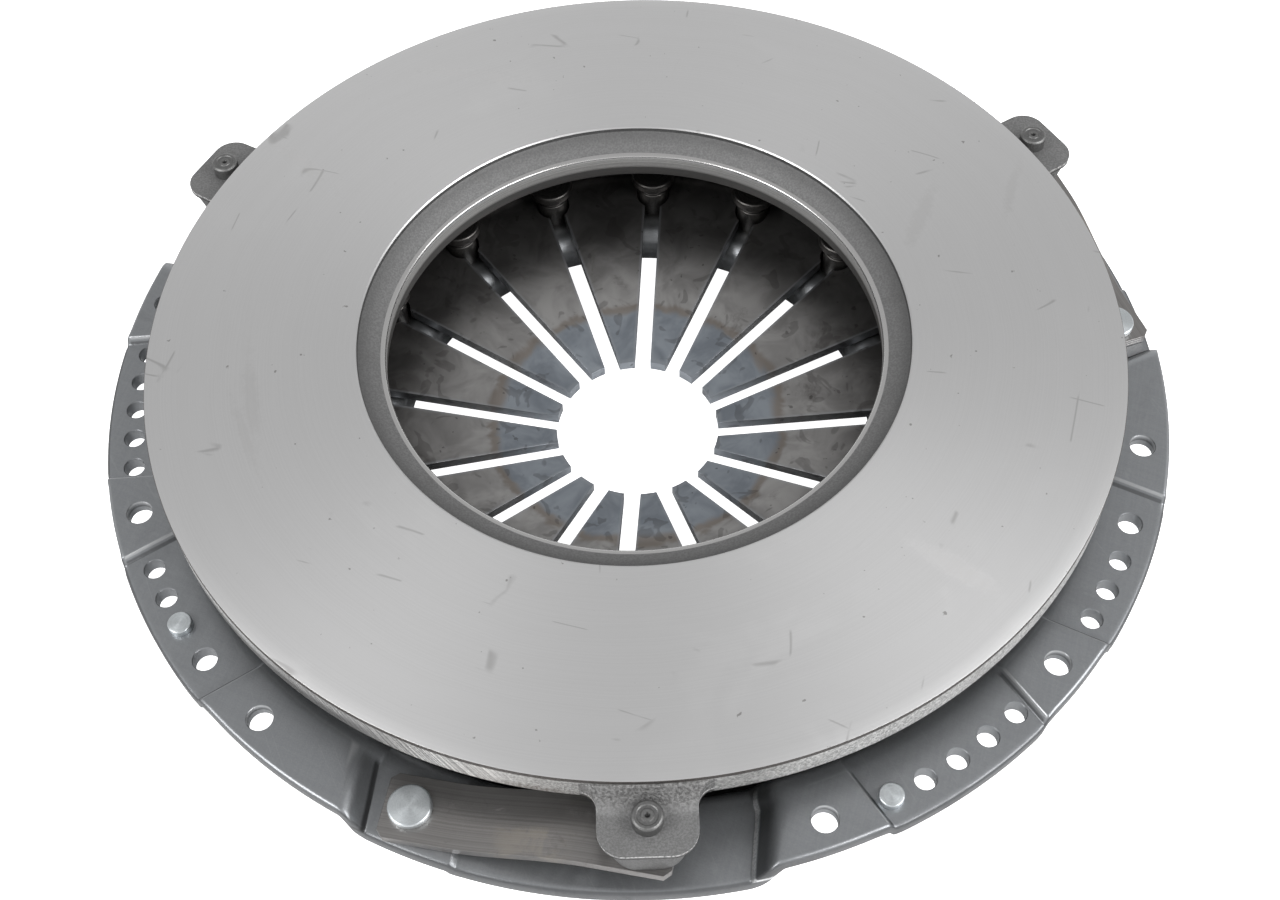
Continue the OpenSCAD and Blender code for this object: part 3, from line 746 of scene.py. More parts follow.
def make_drawn_wire():
    """Drawn wire under a dark film of oil."""
    material, net, place = new_material("drawn_wire", 0.9, 0.35)
    film = net.use(grime, place, Size=6.0, Amount=0.5)
    net.paint(base_color=net.mix(film, (0.14, 0.135, 0.13), (0.05, 0.047, 0.043)),
              roughness=net.between(film, 0.0, 1.0, 0.28, 0.45))
    return material


def make_tempered_strip():
    """Strap steel: rolling lines along the strap, a straw-coloured band of polish and painted highlight on its
    outer side, and a thin dark film.
    """
    material, net, place = new_material("tempered_strip", 0.95, 0.36)
    radius, direction = net.use(third, place)
    off = net.plus(direction, -ANCHOR_ANGLE - STRAP_SPAN / 2)
    beside = net.product(radius, net.math("COSINE", net.product(off, radians(1))))
    rolled = net.between(net.line_noise(net.product(beside, 1.5), 4), 0.35, 0.65)
    spread = net.plus(net.apart(off, 0.6), rolled, 0.6)
    polish_and_highlight = net.product(net.between(spread, 5.5, 2.0), net.between(beside, STRAP_R - 4.0, STRAP_R - 1.0))
    film = net.use(grime, place, Size=8.0, Amount=0.45)
    patch = net.use(grime, place, Size=7.0, Amount=0.75)
    grain = net.use(speckle, place, Size=0.5)
    colour = net.layered(
        net.mix(rolled, (0.285, 0.275, 0.269), (0.345, 0.334, 0.327)),
        ((0.16, 0.15, 0.145), film, 0.45),
        # Polish and painted highlight: a lighter straw-coloured band on the strap's outer side
        ((0.42, 0.385, 0.34), polish_and_highlight, patch, 0.55))
    net.paint(base_color=colour, roughness=net.between(film, 0.0, 1.0, 0.32, 0.48),
              normal=net.bump(net.plus(rolled, grain, 0.6), 0.005))
    return material


def make_turned_metal(name, dark, light, roughness, anisotropic, pitch, depth, pit=0.0):
    """A small turned piece: fine rings about its own axis, a little grain, darker specks and painted shade in
    the centre where it has a pit."""
    material, net, place = new_material(name, 0.95, roughness, anisotropic, "own_axis")
    on_part = net.scaled(net.put("TexCoord").outputs["Object"], 1 / MM)
    film = net.use(grime, on_part, Size=3.5, Amount=0.3)
    relief = net.plus(net.use(turning, place, Pitch=pitch), net.use(speckle, on_part, Size=0.6))
    colour = net.layered(
        net.mix(net.product(relief, 0.5), dark, light),
        # Painted shade: the pit in the middle is painted almost black
        ((0.02, 0.02, 0.02), net.between(net.use(third, place)[0], 1.1, 0.6, 0.0, pit)),
        (tuple(c * 0.5 for c in dark), film, 0.4))
    net.paint(base_color=colour, normal=net.bump(relief, depth))
    return material


ground_face = make_ground_face()
turned_rim = make_turned_rim()
turned_bore = make_turned_bore()
cast_iron = make_cast_iron()
pressed_sheet = make_pressed_sheet()
spring_steel = make_spring_steel()
drawn_wire = make_drawn_wire()
tempered_strip = make_tempered_strip()
zinc_plate = make_turned_metal("zinc_plate", (0.64, 0.68, 0.7), (0.78, 0.82, 0.84), 0.38, 0.6, 0.5, 0.006)
turned_rivet = make_turned_metal("turned_rivet", (0.15, 0.15, 0.15), (0.25, 0.25, 0.247), 0.45, 0.0, 0.9, 0.02,
                                 pit=0.9)
oiled_rivet = make_turned_metal("oiled_rivet", (0.07, 0.066, 0.062), (0.15, 0.145, 0.14), 0.32, 0.0, 0.8, 0.02)


# Pressure plate

def plate_profile():
    """Section of the plate: friction face, rim band, undercut, back with the bead that presses on the
    spring, and bore with its lip and cast recess."""
    rim_z = FACE_Z - RIM_BAND
    lip_z = FACE_Z - 5.8
    corners_radii = [
        ((RECESS_R + 8, FACE_Z), 0), ((PLATE_R, FACE_Z), 0.35), ((PLATE_R, rim_z), 1.4),
        ((BACK_R + 1.5, rim_z - 2.2), 2), ((BACK_R, BACK_Z + 2), 1.5), ((BACK_R - 2, BACK_Z), 0.8),
        ((BEAD_R + 6.5, BACK_Z), 2.5), ((BEAD_R + 3.2, BEAD_Z), 2.9), ((BEAD_R - 3.2, BEAD_Z), 2.9),
        ((BEAD_R - 6.5, BACK_Z), 2.5), ((BORE_R + 0.8, BACK_Z), 1),
        ((BORE_R + 0.5, lip_z - 4), 0.1), ((BORE_R, lip_z - 3.6), 0.1), ((BORE_R, lip_z - 0.1), 0.9),
        ((BORE_R + 1.9, lip_z + 0.1), 0.6), ((RECESS_R - 5, lip_z + 1.6), 4),
        ((RECESS_R - 1.6, FACE_Z - 2.3), 0.8), ((RECESS_R - 0.6, FACE_Z - 1.7), 0.35),
        ((RECESS_R - 0.4, FACE_Z - 0.4), 0.1), ((RECESS_R + 0.1, FACE_Z), 0.2), ((RECESS_R + 8, FACE_Z), 0)]
    corners = [c for c, _ in corners_radii]
    return spaced(filleted(corners, [r for _, r in corners_radii[1:-1]], 4), 5.0)[:-1]


def plate_body():
    """The plate's section carried round the axis, with the bead cut back to the ribs' height where a
    vent crosses it: z is the higher of the section's and the vent's floor."""
    angles = np.linspace(0, 360, 720, endpoint=False)
    points = turned(plate_profile(), angles)
    x, y, z = np.moveaxis(points, -1, 0)
    pitch = 360 / VENTS
    off_centre = (angles + pitch / 2) % pitch - pitch / 2
    across = np.hypot(x, y) * np.sin(np.radians(np.abs(off_centre)))[:, None]
    vent = smooth((VENT_W / 2 + 0.6 - across) / 1.2)
    floor = RIB_Z - (1 - vent) * (RIB_Z - BEAD_Z + 1)
    under = np.abs(np.hypot(x, y) - BEAD_R) < 9
    points[..., 2] = np.where(under, np.maximum(z, floor), z)
    return surface(points, True, True)


def bar(length, width, height, rounding=0.8):
    """A bar along X from 0 to its length. Its section across is a box with rounded lower edges, and
    narrows a little at both ends."""
    half = width / 2
    section = filleted([(0, 0), (half, 0), (half, -height), (-half, -height), (-half, 0), (0, 0)],
                       [0.1, rounding, rounding, 0.1], 4)[:-1]
    x = np.array([0, 0.5, 1, length - 1, length - 0.5, length])
    scale = np.array([0.86, 0.96, 1, 1, 0.96, 0.86])
    points = np.stack([np.tile(x[:, None], (1, len(section))), scale[:, None] * section[:, 0],
                       scale[:, None] * section[:, 1]], -1)
    tips = [np.tile(points[i].mean(0), (1, len(section), 1)) for i in (0, -1)]
    return surface(np.concatenate([tips[0], points, tips[1]]), False, True)


def cooling_ribs():
    """Radial bars from the bore to the bead, one midway between each two vents."""
    points, quads = bar(BEAD_R - 7 - BORE_R, 6.0, BACK_Z - RIB_Z + 1)
    places = [((k + 0.5) * 360 / VENTS, BORE_R + 5) for k in range(VENTS)]
    return repeated((points + np.array([0, 0, BACK_Z + 1]), quads), places)


def lug_top(x, y):
    """Height of a lug's upper side: level outside, and rising with the square of the distance to the
    machined step under the friction face."""
    out = np.clip((np.hypot(x, y) - PLATE_R - 0.6) / 6.5, 0, 1)
    return LUG_TOP_Z + (FACE_Z - LUG_STEP - LUG_TOP_Z) * (1 - out) ** 2


def lug():
    """A lug along +X: at each x its half width is that of its outline. At the root an arc touches both
    the lug's side and the rim's circle, so its centre is one root radius away from both. Down the wall
    the outline draws in, first by the parting step and then by the draft, and the root's flare ends
    under the rim band."""
    half, tip = LUG_W / 2, LUG_TIP_R
    centre_y = half + LUG_ROOT
    centre_x = sqrt((PLATE_R + LUG_ROOT) ** 2 - centre_y ** 2)
    turn = np.linspace(asin(centre_y / (PLATE_R + LUG_ROOT)), pi / 2, 9)
    root = np.column_stack([centre_x - LUG_ROOT * np.cos(turn), centre_y - LUG_ROOT * np.sin(turn)])
    inner = np.array([[154, root[0, 1] + 4], [root[0, 0] - 1.5, root[0, 1] + 4]])
    turn = np.radians(np.linspace(90, 0, 10))
    corner = np.column_stack([tip - LUG_CORNER * (1 - np.cos(turn)), half - LUG_CORNER * (1 - np.sin(turn))])
    outline = spaced(np.vstack([inner, root, corner]), 1.5)
    w = np.linspace(-1, 1, 25)
    x = np.tile(outline[:, :1], (1, len(w)))
    y = outline[:, 1:] * w

    def level(side, front, flare, z):
        wide = outline[:, 1:]
        narrow = np.minimum(wide, half + flare * (wide - half)) - side
        return np.stack([x - front * smooth((x - 165) / (tip - 165)), narrow * w, z + 0 * x], -1)

    upper = level(0, 0, 1, lug_top(x, y))
    rim_z = FACE_Z - RIM_BAND
    low = [level(0, 0, 1, np.minimum(lug_top(x, y) - 1.5, LUG_TOP_Z - 2.0)),
           level(LUG_PART, LUG_PART, 1, LUG_TOP_Z - 2.4), level(LUG_PART + 0.2, LUG_PART, 1, rim_z + 0.2),
           level(LUG_PART + 0.5, LUG_PART, 0.3, rim_z - 1.2), level(LUG_PART + 0.7, LUG_PART, 0, rim_z - 2.6),
           level(LUG_PART + LUG_DRAFT, LUG_PART + 0.3, 0, LUG_LOW_Z)]
    rows = [upper] + low
    wall = np.stack([np.concatenate([s[:, -1], s[-1, ::-1], s[::-1, 0], s[0]]) for s in rows[::-1]])
    return stitched([surface(upper), surface(low[-1]), surface(wall, False, True)])


def plate_finish(centres):
    """0 on the ground face, 1 on the turned rim, 2 on the turned bore, 3 on what stays as cast."""
    r, z = np.hypot(centres[:, 0], centres[:, 1]), centres[:, 2]
    face = (z > FACE_Z - 0.02) | (z > FACE_Z - 0.5) & (r > RECESS_R - 0.5) & (r < RECESS_R + 2)
    rim = (r > PLATE_R - 0.6) & (z > FACE_Z - RIM_BAND + 1)
    bore = (r < BORE_R + 1.6) & (z > BACK_Z + 0.5)
    return np.where(face, 0, np.where(rim, 1, np.where(bore, 2, 3)))


def make_plate():
    """The casting with its four finishes, its ribs and its lugs."""
    finishes = [ground_face, turned_rim, turned_bore, cast_iron]
    make_piece("plate_casting", plate_body(), finishes, "pressure_plate", ["pressure_plate"],
               choose=plate_finish)
    make_piece("plate_cooling_ribs", cooling_ribs(), [cast_iron], "pressure_plate", [])
    points, quads = lug()
    for k in range(THIRDS):
        piece = make_piece(f"plate_lug_{k + 1}", (at(points, LUG_ANGLE + k * THIRD), quads), [cast_iron],
                           "pressure_plate", [])
        round_edges(piece, 0.5, 2, 35)


# Cover

def relief_lines():
    """Across a coined relief both sides of the sheet step down alike: the line of the upper side and,
    one sheet lower, that of the lower side."""
    half = BALANCE_R * sin(radians(8)) + 3.5 + 2
    corners = [(-half - 20, 0), (-half - STEP / 2, 0), (-half + STEP / 2, -RELIEF),
               (half - STEP / 2, -RELIEF), (half + STEP / 2, 0), (half + 20, 0)]
    upper = filleted(corners, [COIN] * 4, 2)
    return upper, upper - np.array([0, SHEET])


def pocket_lines():
    """Across a pocket the sheet is bent down to the straps' platform, coined down to the floor and bent
    up again beside the lug."""
    rivet, lug_at = (STRAP_R * sin(radians(a - POCKET_ANGLE)) for a in (ANCHOR_ANGLE, LUG_ANGLE))
    end = lug_at + LUG_W / 2 + 16
    corners = [(rivet - 38.6, 0), (rivet - 18.6, 0), (rivet - 13.1, -PLATFORM), (rivet + 14.4, -PLATFORM),
               (rivet + 14.4 + STEP, -POCKET), (end, -POCKET), (end + 7, 0), (end + 27, 0)]
    outer = PRESS + SHEET
    return (filleted(corners, [outer, PRESS, COIN, COIN, PRESS, outer], [5, 3, 2, 2, 3, 5]),
            filleted(moved(corners, -SHEET), [PRESS, outer, COIN, COIN, outer, PRESS], [3, 5, 2, 2, 5, 3]))


RELIEF_LINES, POCKET_LINES = relief_lines(), pocket_lines()
CHANNELS = [(-148.8, RELIEF_LINES), (POCKET_ANGLE, POCKET_LINES), (-58.3, RELIEF_LINES),
            (-28.8, RELIEF_LINES), (POCKET_ANGLE + THIRD, POCKET_LINES)]


def across(columns, angle):
    """Distance of a column from a channel's middle line, at the bolt circle."""
    return BOLT_CIRCLE_R * np.sin(np.radians(columns - angle))


def levels(columns, side):
    """Height of one side of the flange in each column: the lowest of the channels' lines."""
    return np.min([np.interp(across(columns, angle), *lines[side].T) for angle, lines in CHANNELS], axis=0)


def cover_columns():
    """Directions of the grid's columns at the bolt circle, over one third: one at each bend of a channel,
    nine across each hole's cell and others between, no more than 1.3 degrees apart."""
    bends = [angle + np.degrees(np.arcsin(line[1:-1, 0] / BOLT_CIRCLE_R))
             for angle, lines in CHANNELS for line in lines]
    columns = np.sort(np.concatenate(bends + [[THIRD_START, THIRD_START + THIRD]]))
    columns = columns[(columns >= THIRD_START) & (columns <= THIRD_START + THIRD)]
    columns = columns[np.append(True, np.diff(columns) > COLUMN_GAP)]
    cells = []
    for angle, radius, hole_r in BOLT_HOLES + BALANCE_HOLES + DOWEL_HOLES:
        half = degrees(asin((hole_r + 0.4) / BOLT_CIRCLE_R))
        beside = columns[np.abs(columns - angle) > half + COLUMN_GAP / 2]
        columns = np.append(beside, np.linspace(angle - half, angle + half, CELL))
        cells.append((angle - half, angle, radius, hole_r))
    columns = spaced(np.sort(columns)[:, None], COLUMN_STEP)[:, 0]
    return columns, [(int(np.argmin(np.abs(columns - first))), *cell) for first, *cell in cells]


def directions(columns, radii):
    """Where the columns run at each radius. Along a channel a column keeps its distance s from the middle
    line, so its direction is the channel's plus asin(s / r); between two channels the two rules mix."""
    r = np.maximum(radii, CHANNEL_R)
    middles = np.array([angle for angle, _ in CHANNELS])
    reach = np.array([[lines[0][1, 0], lines[0][-2, 0]] for _, lines in CHANNELS]) / BOLT_CIRCLE_R
    first, last = (middles + np.degrees(np.arcsin(reach[:, k])) for k in (0, 1))
    turn = np.zeros(np.broadcast(columns, r).shape)
    for i, angle in enumerate(middles):
        coming = 1 if i == 0 else smooth((columns - last[i - 1]) / (first[i] - last[i - 1]))
        going = 1 if i == len(middles) - 1 else 1 - smooth((columns - last[i]) / (first[i + 1] - last[i]))
        s = np.clip(across(columns, angle) / r, -1, 1)
        turn = turn + coming * going * (np.degrees(np.arcsin(s)) - (columns - angle))
    return columns + turn


def cover_sections():
    """Sections of the sheet's two sides from the flange to the lip's end, as the bend into the wall and
    the rest: wall, outer floor, step, floor and lip."""
    foot = WALL_R + WALL_SLOPE * OUTER_FLOOR_Z
    step_r = RIVET_R + RIVET_HEAD_R + BEND + SHEET
    corners = [(FLANGE_R + 2.5, 0), (WALL_R, 0), (foot, OUTER_FLOOR_Z), (step_r + 6, OUTER_FLOOR_Z),
               (step_r, FLOOR_Z), (LIP_R, FLOOR_Z), (LIP_R, LIP_Z)]
    outer = BEND + SHEET
    upper = filleted(corners, [outer, BEND, BEND, outer, outer], 5)
    lower = filleted(moved(corners, SHEET), [BEND, outer, outer, BEND, BEND], 5)
    counts = steps_in(upper[7:], ROW_STEP)
    return [(side[1:7], divided(side[7:], counts)) for side in (upper, lower)]


def cover_side(columns, side, section):
    """One side of the sheet as a grid: the rounded rim, the flange, the bend, which lies as deep as the
    flange does, and the turned rest."""
    level = levels(columns, side)
    depth = level + SHEET * side
    eased = np.mean([levels(columns + off, 0) for off in np.linspace(-PAD_EASE, PAD_EASE, 7)], axis=0)
    rim = FLANGE_R - PAD_EDGE * smooth(1 + eased / RELIEF)
    turn = np.radians(RIM_TURNS)[:, None]
    rho = RIM_ROUNDS[side]
    rim_r = rim - rho + rho * np.sin(turn)
    rim_z = level + (rho if side else -rho) * (1 - np.cos(turn))
    band_r = np.tile(np.linspace(*HOLE_BAND, CELL)[:, None], (1, len(columns)))
    bend, rest = section
    bend_r = bend[:, :1] + WALL_SLOPE * depth
    bend_z = bend[:, 1:] + depth
    wall = np.linspace(0, 1, 4)[1:-1, None]
    wall_r = bend_r[-1] + (rest[0, 0] - bend_r[-1]) * wall
    wall_z = bend_z[-1] + (rest[0, 1] - bend_z[-1]) * wall
    rest_r, rest_z = (np.tile(rest[:, k:k + 1], (1, len(columns))) for k in (0, 1))
    r = np.concatenate([rim_r, band_r, (band_r[-1:] + bend_r[:1]) / 2, bend_r, wall_r, rest_r])
    z = np.concatenate([rim_z, np.tile(level, (len(band_r) + 1, 1)), bend_z, wall_z, rest_z])
    a = np.radians(directions(columns, r))
    return np.stack([r * np.cos(a), r * np.sin(a), z], -1)


def hole_cell(block, angle, radius, hole_r, inwards):
    """The sheet round one hole: rings of 32 points that go from the hole's chamfered circle to the edge of
    the block of 9 by 9 points that they stand in for."""
    edge = np.concatenate([block[0, :-1], block[:-1, -1], block[-1, :0:-1], block[:0:-1, 0]])
    turn = np.radians(angle - 45 + np.linspace(0, 360, len(edge), endpoint=False))
    middle = radius * np.array([cos(radians(angle)), sin(radians(angle))])
    away = np.stack([np.cos(turn), np.sin(turn)], -1)
    circles = [np.column_stack([middle + (hole_r + out) * away, edge[:, 2] + down])
               for out, down in ((0, 0.25 * inwards), (0.25, 0))]
    shares = np.array([0.3, 0.65, 1])[:, None, None]
    return np.concatenate([circles, circles[1] + (edge - circles[1]) * shares])


def cover_third():
    """One third of the sheet's two sides, on one grid of directions and steps along its section."""
    columns, cells = cover_columns()
    sides = [cover_side(columns, side, section) for side, section in enumerate(cover_sections())]
    quads = grid(*sides[0].shape[:2])
    row, column = quads[:, 0] // len(columns), quads[:, 0] % len(columns)
    in_cell = np.zeros(len(quads), bool)
    parts = [[], []]
    top = len(RIM_TURNS)
    for first, angle, radius, hole_r in cells:
        in_cell |= (row >= top) & (row < top + CELL - 1) & (column >= first) & (column < first + CELL - 1)
        for side in (0, 1):
            block = sides[side][top:top + CELL, first:first + CELL]
            cell = hole_cell(block, angle, radius, hole_r, 1 if side else -1)
            parts[side].append(surface(cell, False, True))
    return [stitched(parts[side] + [(sides[side].reshape(-1, 3), quads[~in_cell])]) for side in (0, 1)]


def make_cover():
    """The first third and its copies turned by 120 and 240 degrees, made one closed sheet."""
    thirds = [(k * THIRD, 0) for k in range(THIRDS)]
    (upper, quads), (lower, _) = (repeated(side, thirds) for side in cover_third())
    make_piece("cover_pressing", sheet(upper, lower, quads), [pressed_sheet], "cover", ["cover"])


# Diaphragm spring, wire rings and shouldered rivets

def spring_top(r):
    """Height of the spring's upper side: a cone through the circle where it tilts."""
    return (r - FULCRUM_R) * tan(CONE_ANGLE) - SPRING_DEPTH


def slot_half(r):
    """Half the gap between two fingers: a slot, and a window of two half circles."""
    low, high = RIVET_R - 1, RIVET_R + 1
    inside = np.where(r < low, low - r, np.where(r > high, r - high, 0))
    window = np.sqrt(np.maximum(WINDOW_R ** 2 - inside ** 2, 0))
    return np.maximum(np.where(r < RIVET_R, SLOT_HALF, 0), window)


def finger_sector():
    """Upper side of one finger and its share of the outer ring, about +X: at each radius it reaches from
    one slot to the next, at the height of the cone."""
    neck = np.arcsin(SLOT_HALF / WINDOW_R)
    low = RIVET_R - 1 - WINDOW_R * np.cos(np.linspace(neck, pi / 2, 7))
    high = RIVET_R + 1 + WINDOW_R * np.sin(np.linspace(0, pi / 2, 9))
    rows = np.concatenate([np.linspace(TIP_R, low[0], 16)[:-1], low, high,
                           np.linspace(high[-1], SPRING_R, 9)[1:]])
    half = pi / FINGERS - np.arcsin(slot_half(rows) / rows)
    r, side = rows[:, None], np.sin(np.linspace(-pi / 2, pi / 2, 15))
    a = half[:, None] * side
    return surface(np.stack([r * np.cos(a), r * np.sin(a), np.tile(spring_top(r), (1, len(side)))], -1))


def make_spring():
    """The fingers side by side. The lower side lies the thickness over the cosine of the cone's angle
    below the upper one."""
    places = [(SLOT_ANGLE + (2 * k + 1) * 180 / FINGERS, 0) for k in range(FINGERS)]
    upper, quads = repeated(finger_sector(), places)
    whole = sheet(upper, upper - np.array([0, 0, SPRING_T / cos(CONE_ANGLE)]), quads)
    spring = make_piece("diaphragm_spring_fingers", whole, [spring_steel], "cover", ["diaphragm_spring"])
    round_edges(spring, 0.5, 2, 40)
    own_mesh(spring)


def wire_ring(z):
    """A torus: a circle of the wire's radius carried round the circle where the spring tilts."""
    a = np.linspace(0, 2 * pi, 16, endpoint=False)
    section = np.stack([FULCRUM_R + WIRE_R * np.cos(a), z + WIRE_R * np.sin(a)], -1)
    return surface(turned(section, np.linspace(0, 360, 180, endpoint=False)), True, True)


def formed_head(z):
    """Section of the head that closes a rivet under the cover, whose floor's outer side is at z."""
    return [(0, z - 3.2), (4.2, z - 3.2), (7, z), (4.5, z)]


def make_rings_and_rivets():
    """A ring's centre lies the wire's radius and the seat away from the cone, measured square to it. The
    rivets are one turned profile, at the middle of each window."""
    lift = (WIRE_R + SEAT) / cos(CONE_ANGLE)
    upper = spring_top(FULCRUM_R) + lift
    lower = spring_top(FULCRUM_R) - SPRING_T / cos(CONE_ANGLE) - lift
    make_piece("wire_ring_upper", wire_ring(upper), [drawn_wire], "cover", ["upper_wire_ring"])
    make_piece("wire_ring_lower", wire_ring(lower), [drawn_wire], "cover", ["lower_wire_ring"])
    head_z = upper + WIRE_R + SEAT
    collar_z = spring_top(RIVET_R) + 3.2
    profile = filleted([*formed_head(FLOOR_Z - SHEET), (4.5, FLOOR_Z), (6.1, FLOOR_Z), (6.1, collar_z),
                        (5.2, collar_z), (5.2, head_z), (RIVET_HEAD_R, head_z), (RIVET_HEAD_R, head_z + 3.6),
                        (0, head_z + 3.6)], [1.6, 0.3, 0, 0, 0, 0.6, 0.3, 0.4, 0.6, 1.0], 4)
    places = [(SLOT_ANGLE + k * 360 / FINGERS, RIVET_R) for k in range(FINGERS)]
    make_piece("shouldered_rivet_set", repeated(surface(turned(profile), True), places), [oiled_rivet], "cover",
               ["shouldered_rivets"], axes=places)


# Straps and their rivets

def leaf(z):
    """Two sides of a leaf along the chord from the cover's rivet: its height eases from the platform up
    to the lug, and its width narrows by the clipped corners at both ends."""
    clipped = np.array([0, LEAF_CLIP / 2, LEAF_CLIP]) - LEAF_END
    along = np.concatenate([clipped, np.linspace(0, RISE_START, 4), np.linspace(RISE_START, RISE_STOP, 26)[1:],
                            np.linspace(RISE_STOP, STRAP_CHORD, 5)[1:], STRAP_CHORD - clipped[::-1]])
    from_end = np.minimum(along, STRAP_CHORD - along) + LEAF_END
    half = STRAP_W / 2 - np.maximum(0, LEAF_CLIP - from_end)
    side = np.linspace(-1, 1, 9)
    x = np.tile(along[:, None], (1, len(side)))
    y = half[:, None] * side
    rise = STRAP_RISE * smooth((x - RISE_START) / (RISE_STOP - RISE_START))
    upper, quads = surface(at(np.stack([x, y, z + rise], -1), degrees(STRAP_TURN)))
    return sheet(upper, upper - np.array([0, 0, LEAF_T]), quads)


def make_straps():
    """Each leaf bends between the two ends of its rise, along the chord from the cover to the lug."""
    for strap in range(THIRDS):
        place = (ANCHOR_ANGLE + strap * THIRD, STRAP_R)
        for k in range(LEAVES):
            points, quads = leaf(-PLATFORM + SEAT + LEAF_T + k * (LEAF_T + LEAF_GAP))
            name = f"strap_{strap + 1}_leaf_{k + 1}"
            piece = make_piece(name + "_spring_strip", (at(points, *place), quads), [tempered_strip], None,
                               [name])
            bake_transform(piece)
            round_edges(piece, 0.12, 1, 50)


def make_strap_rivets():
    """Two turned profiles: a plated head over the strap in the cover, and a stem with a pit in the lug."""
    top = -PLATFORM + SEAT + PACK_T + HEAD_GAP
    head = filleted([*formed_head(-PLATFORM - SHEET), (4.5, top), (6.6, top), (6.9, top + 0.6),
                     (6.9, top + 2.6), (0, top + 2.6)], [1.6, 0.3, 0, 0, 0, 0.3, 0.7], 5)
    foot = LUG_LOW_Z - SEAT - PACK_T - HEAD_GAP
    end = LUG_TOP_Z + 5
    stem = filleted([(0, foot - 2.2), (7, foot - 2.2), (7, foot), (4.7, foot), (4.7, LUG_TOP_Z),
                     (4.8, end - 0.5), (4.1, end), (3.3, end), (3.0, end - 0.25), (2.1, end - 0.25), (1.9, end),
                     (0.9, end), (0, end - 0.9)], [0.5, 0.2, 0, 0, 0.5, 0.2, 0.1, 0.1, 0.1, 0.1, 0.1], 4)
    for k in range(THIRDS):
        points, quads = surface(turned(head), True)
        place = (ANCHOR_ANGLE + k * THIRD, STRAP_R)
        make_piece(f"cover_strap_rivet_{k + 1}_head", (at(points, *place), quads), [zinc_plate], "cover",
                   [f"cover_strap_rivet_{k + 1}"], axes=[place])
        points, quads = surface(turned(stem), True)
        place = (LUG_ANGLE + k * THIRD, STRAP_R)
        make_piece(f"lug_rivet_{k + 1}_stem", (at(points, *place), quads), [turned_rivet], "pressure_plate",
                   [f"lug_rivet_{k + 1}"], axes=[place])


def make_balance_rivets():
    """A turned profile in two of the balance holes."""
    top = -RELIEF + HEAD_GAP
    low = -RELIEF - SHEET
    profile = filleted([(0, low - 2.4), (3.6, low - 2.4), (5, low), (3.45, low), (3.45, top), (4, top),
                        (4, top + 2.5), (0, top + 2.5)], [1.4, 0.2, 0, 0, 0.1, 0.5], 5)
    points, quads = surface(turned(profile), True)
    for k, angle in enumerate(BALANCE_RIVETS):
        place = (angle, BALANCE_R)
        make_piece(f"balance_rivet_{k + 1}_head", (at(points, *place), quads), [zinc_plate], "cover",
                   [f"balance_rivet_{k + 1}"], axes=[place])


# Camera, lights and floor

def make_camera():
    """The photograph's view: above the near side, looking down on the friction face, turned and tilted
    a little so that the image needs no shift."""
    distance, elevation = 563.45, 0.8953
    tilt, pan, roll = -0.07613, 0.00087, 0.04174
    right = Vector((1, 0, 0))
    up = Vector((0, sin(elevation), cos(elevation)))
    ahead = Vector((0, cos(elevation), -sin(elevation)))
    up, ahead = up * cos(tilt) - ahead * sin(tilt), up * sin(tilt) + ahead * cos(tilt)
    right, ahead = right * cos(pan) - ahead * sin(pan), right * sin(pan) + ahead * cos(pan)
    right, up = right * cos(roll) - up * sin(roll), right * sin(roll) + up * cos(roll)
    data = bpy.data.cameras.new("photographer")
    data.sensor_width = 36
    data.lens = 45.98
    camera = bpy.data.objects.new("photographer", data)
    bpy.context.scene.collection.objects.link(camera)
    place = Vector((0, -distance * cos(elevation), FACE_Z + distance * sin(elevation))) * MM
    camera.matrix_world = Matrix.Translation(place) @ Matrix((right, up, -ahead)).transposed().to_4x4()
    bpy.context.scene.camera = camera


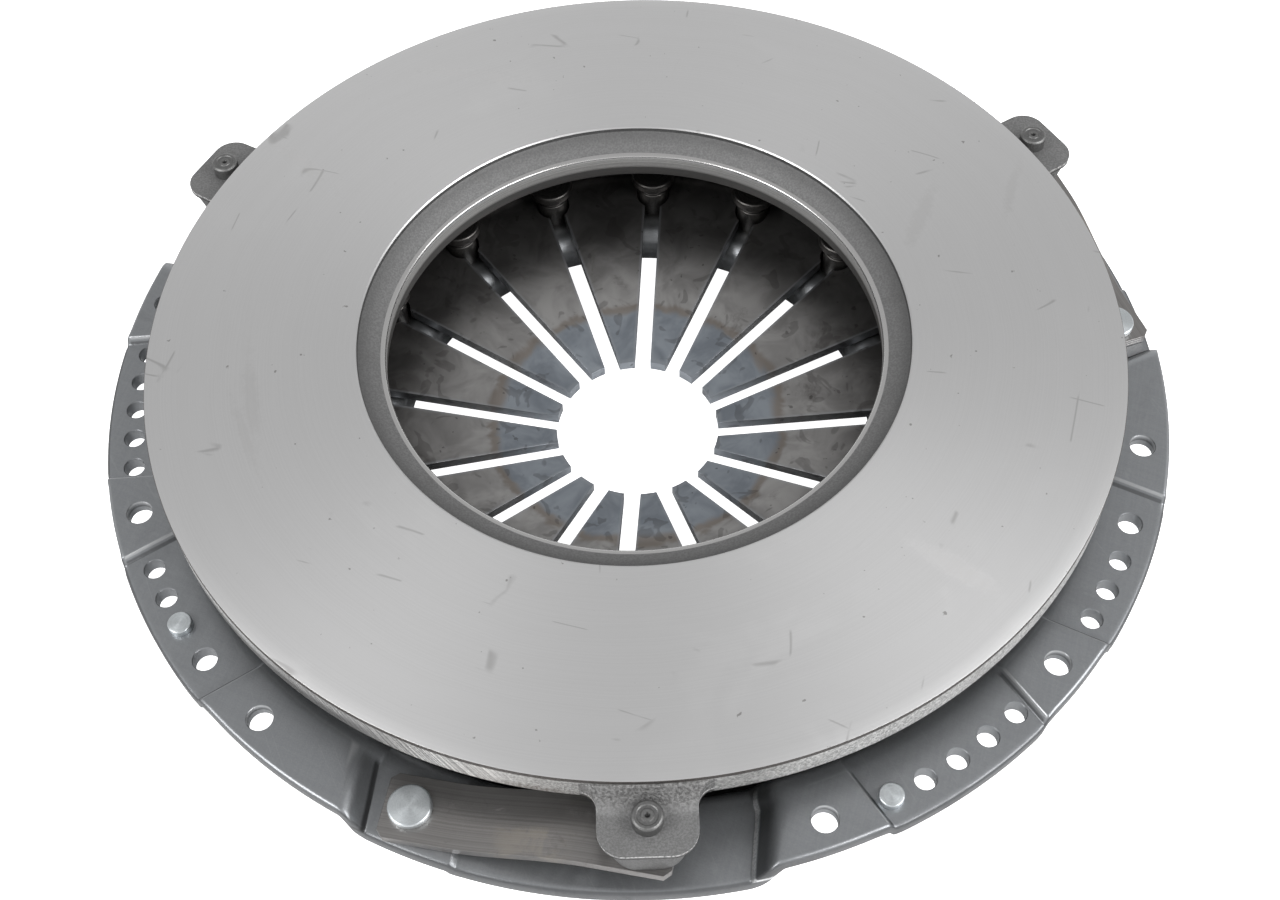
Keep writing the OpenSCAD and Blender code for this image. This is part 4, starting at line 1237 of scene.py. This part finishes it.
def make_light(name, place, size, power):
    """A white panel that faces the part."""
    data = bpy.data.lights.new(name, "AREA")
    data.shape = "RECTANGLE"
    data.size, data.size_y = size
    data.energy = power
    light = bpy.data.objects.new(name, data)
    light.location = place
    light.rotation_euler = (-Vector(place)).to_track_quat("-Z", "Y").to_euler()
    bpy.context.scene.collection.objects.link(light)


def make_studio():
    """A pale floor and sky, both white for the camera and dimmer for the part, and six lights."""
    side = 6.0
    mesh = bpy.data.meshes.new("floor")
    corners = [(-side, -side), (side, -side), (side, side), (-side, side)]
    mesh.from_pydata([(x, y, LIP_Z * MM - 0.0002) for x, y in corners], [], [(0, 1, 2, 3)])
    material = bpy.data.materials.new("pale_floor")
    material.use_nodes = True
    net = Net(material.node_tree)
    seen = net.put("LightPath").outputs["Is Camera Ray"]
    net.paint(base_color=(0.9, 0.9, 0.9, 1), roughness=0.9, emission_color=(1, 1, 1, 1),
              emission_strength=net.product(seen, 1.1))
    mesh.materials.append(material)
    floor = bpy.data.objects.new("floor", mesh)
    bpy.context.scene.collection.objects.link(floor)
    world = bpy.data.worlds.new("studio")
    world.use_nodes = True
    net = Net(world.node_tree)
    sky = world.node_tree.nodes["Background"].inputs
    sky["Color"].default_value = (1, 1, 1, 1)
    net.feed(sky["Strength"], net.between(net.put("LightPath").outputs["Is Camera Ray"], 0.0, 1.0, 0.5, 1.3))
    bpy.context.scene.world = world
    for name, place, size, power in (("left_side", (-1.92, -0.85, 1.95), (1.6, 1.6), 32),
                                     ("right_side", (2.02, -0.78, 1.95), (2.6, 1.5), 52),
                                     ("back", (0.0, 2.0, 0.5), (3.0, 1.2), 3.5),
                                     ("front", (0.1, -1.5, 0.6), (1.8, 0.9), 1.7),
                                     ("front_left", (-1.15, -0.95, 1.2), (0.35, 0.35), 2.5),
                                     ("front_right", (1.15, -0.95, 1.2), (0.35, 0.35), 2.5)):
        make_light(name, place, size, power)
    bpy.context.scene.view_settings.view_transform = "Standard"


make_camera()
make_plate()
make_cover()
make_spring()
make_rings_and_rivets()
make_straps()
make_strap_rivets()
make_balance_rivets()
make_studio()
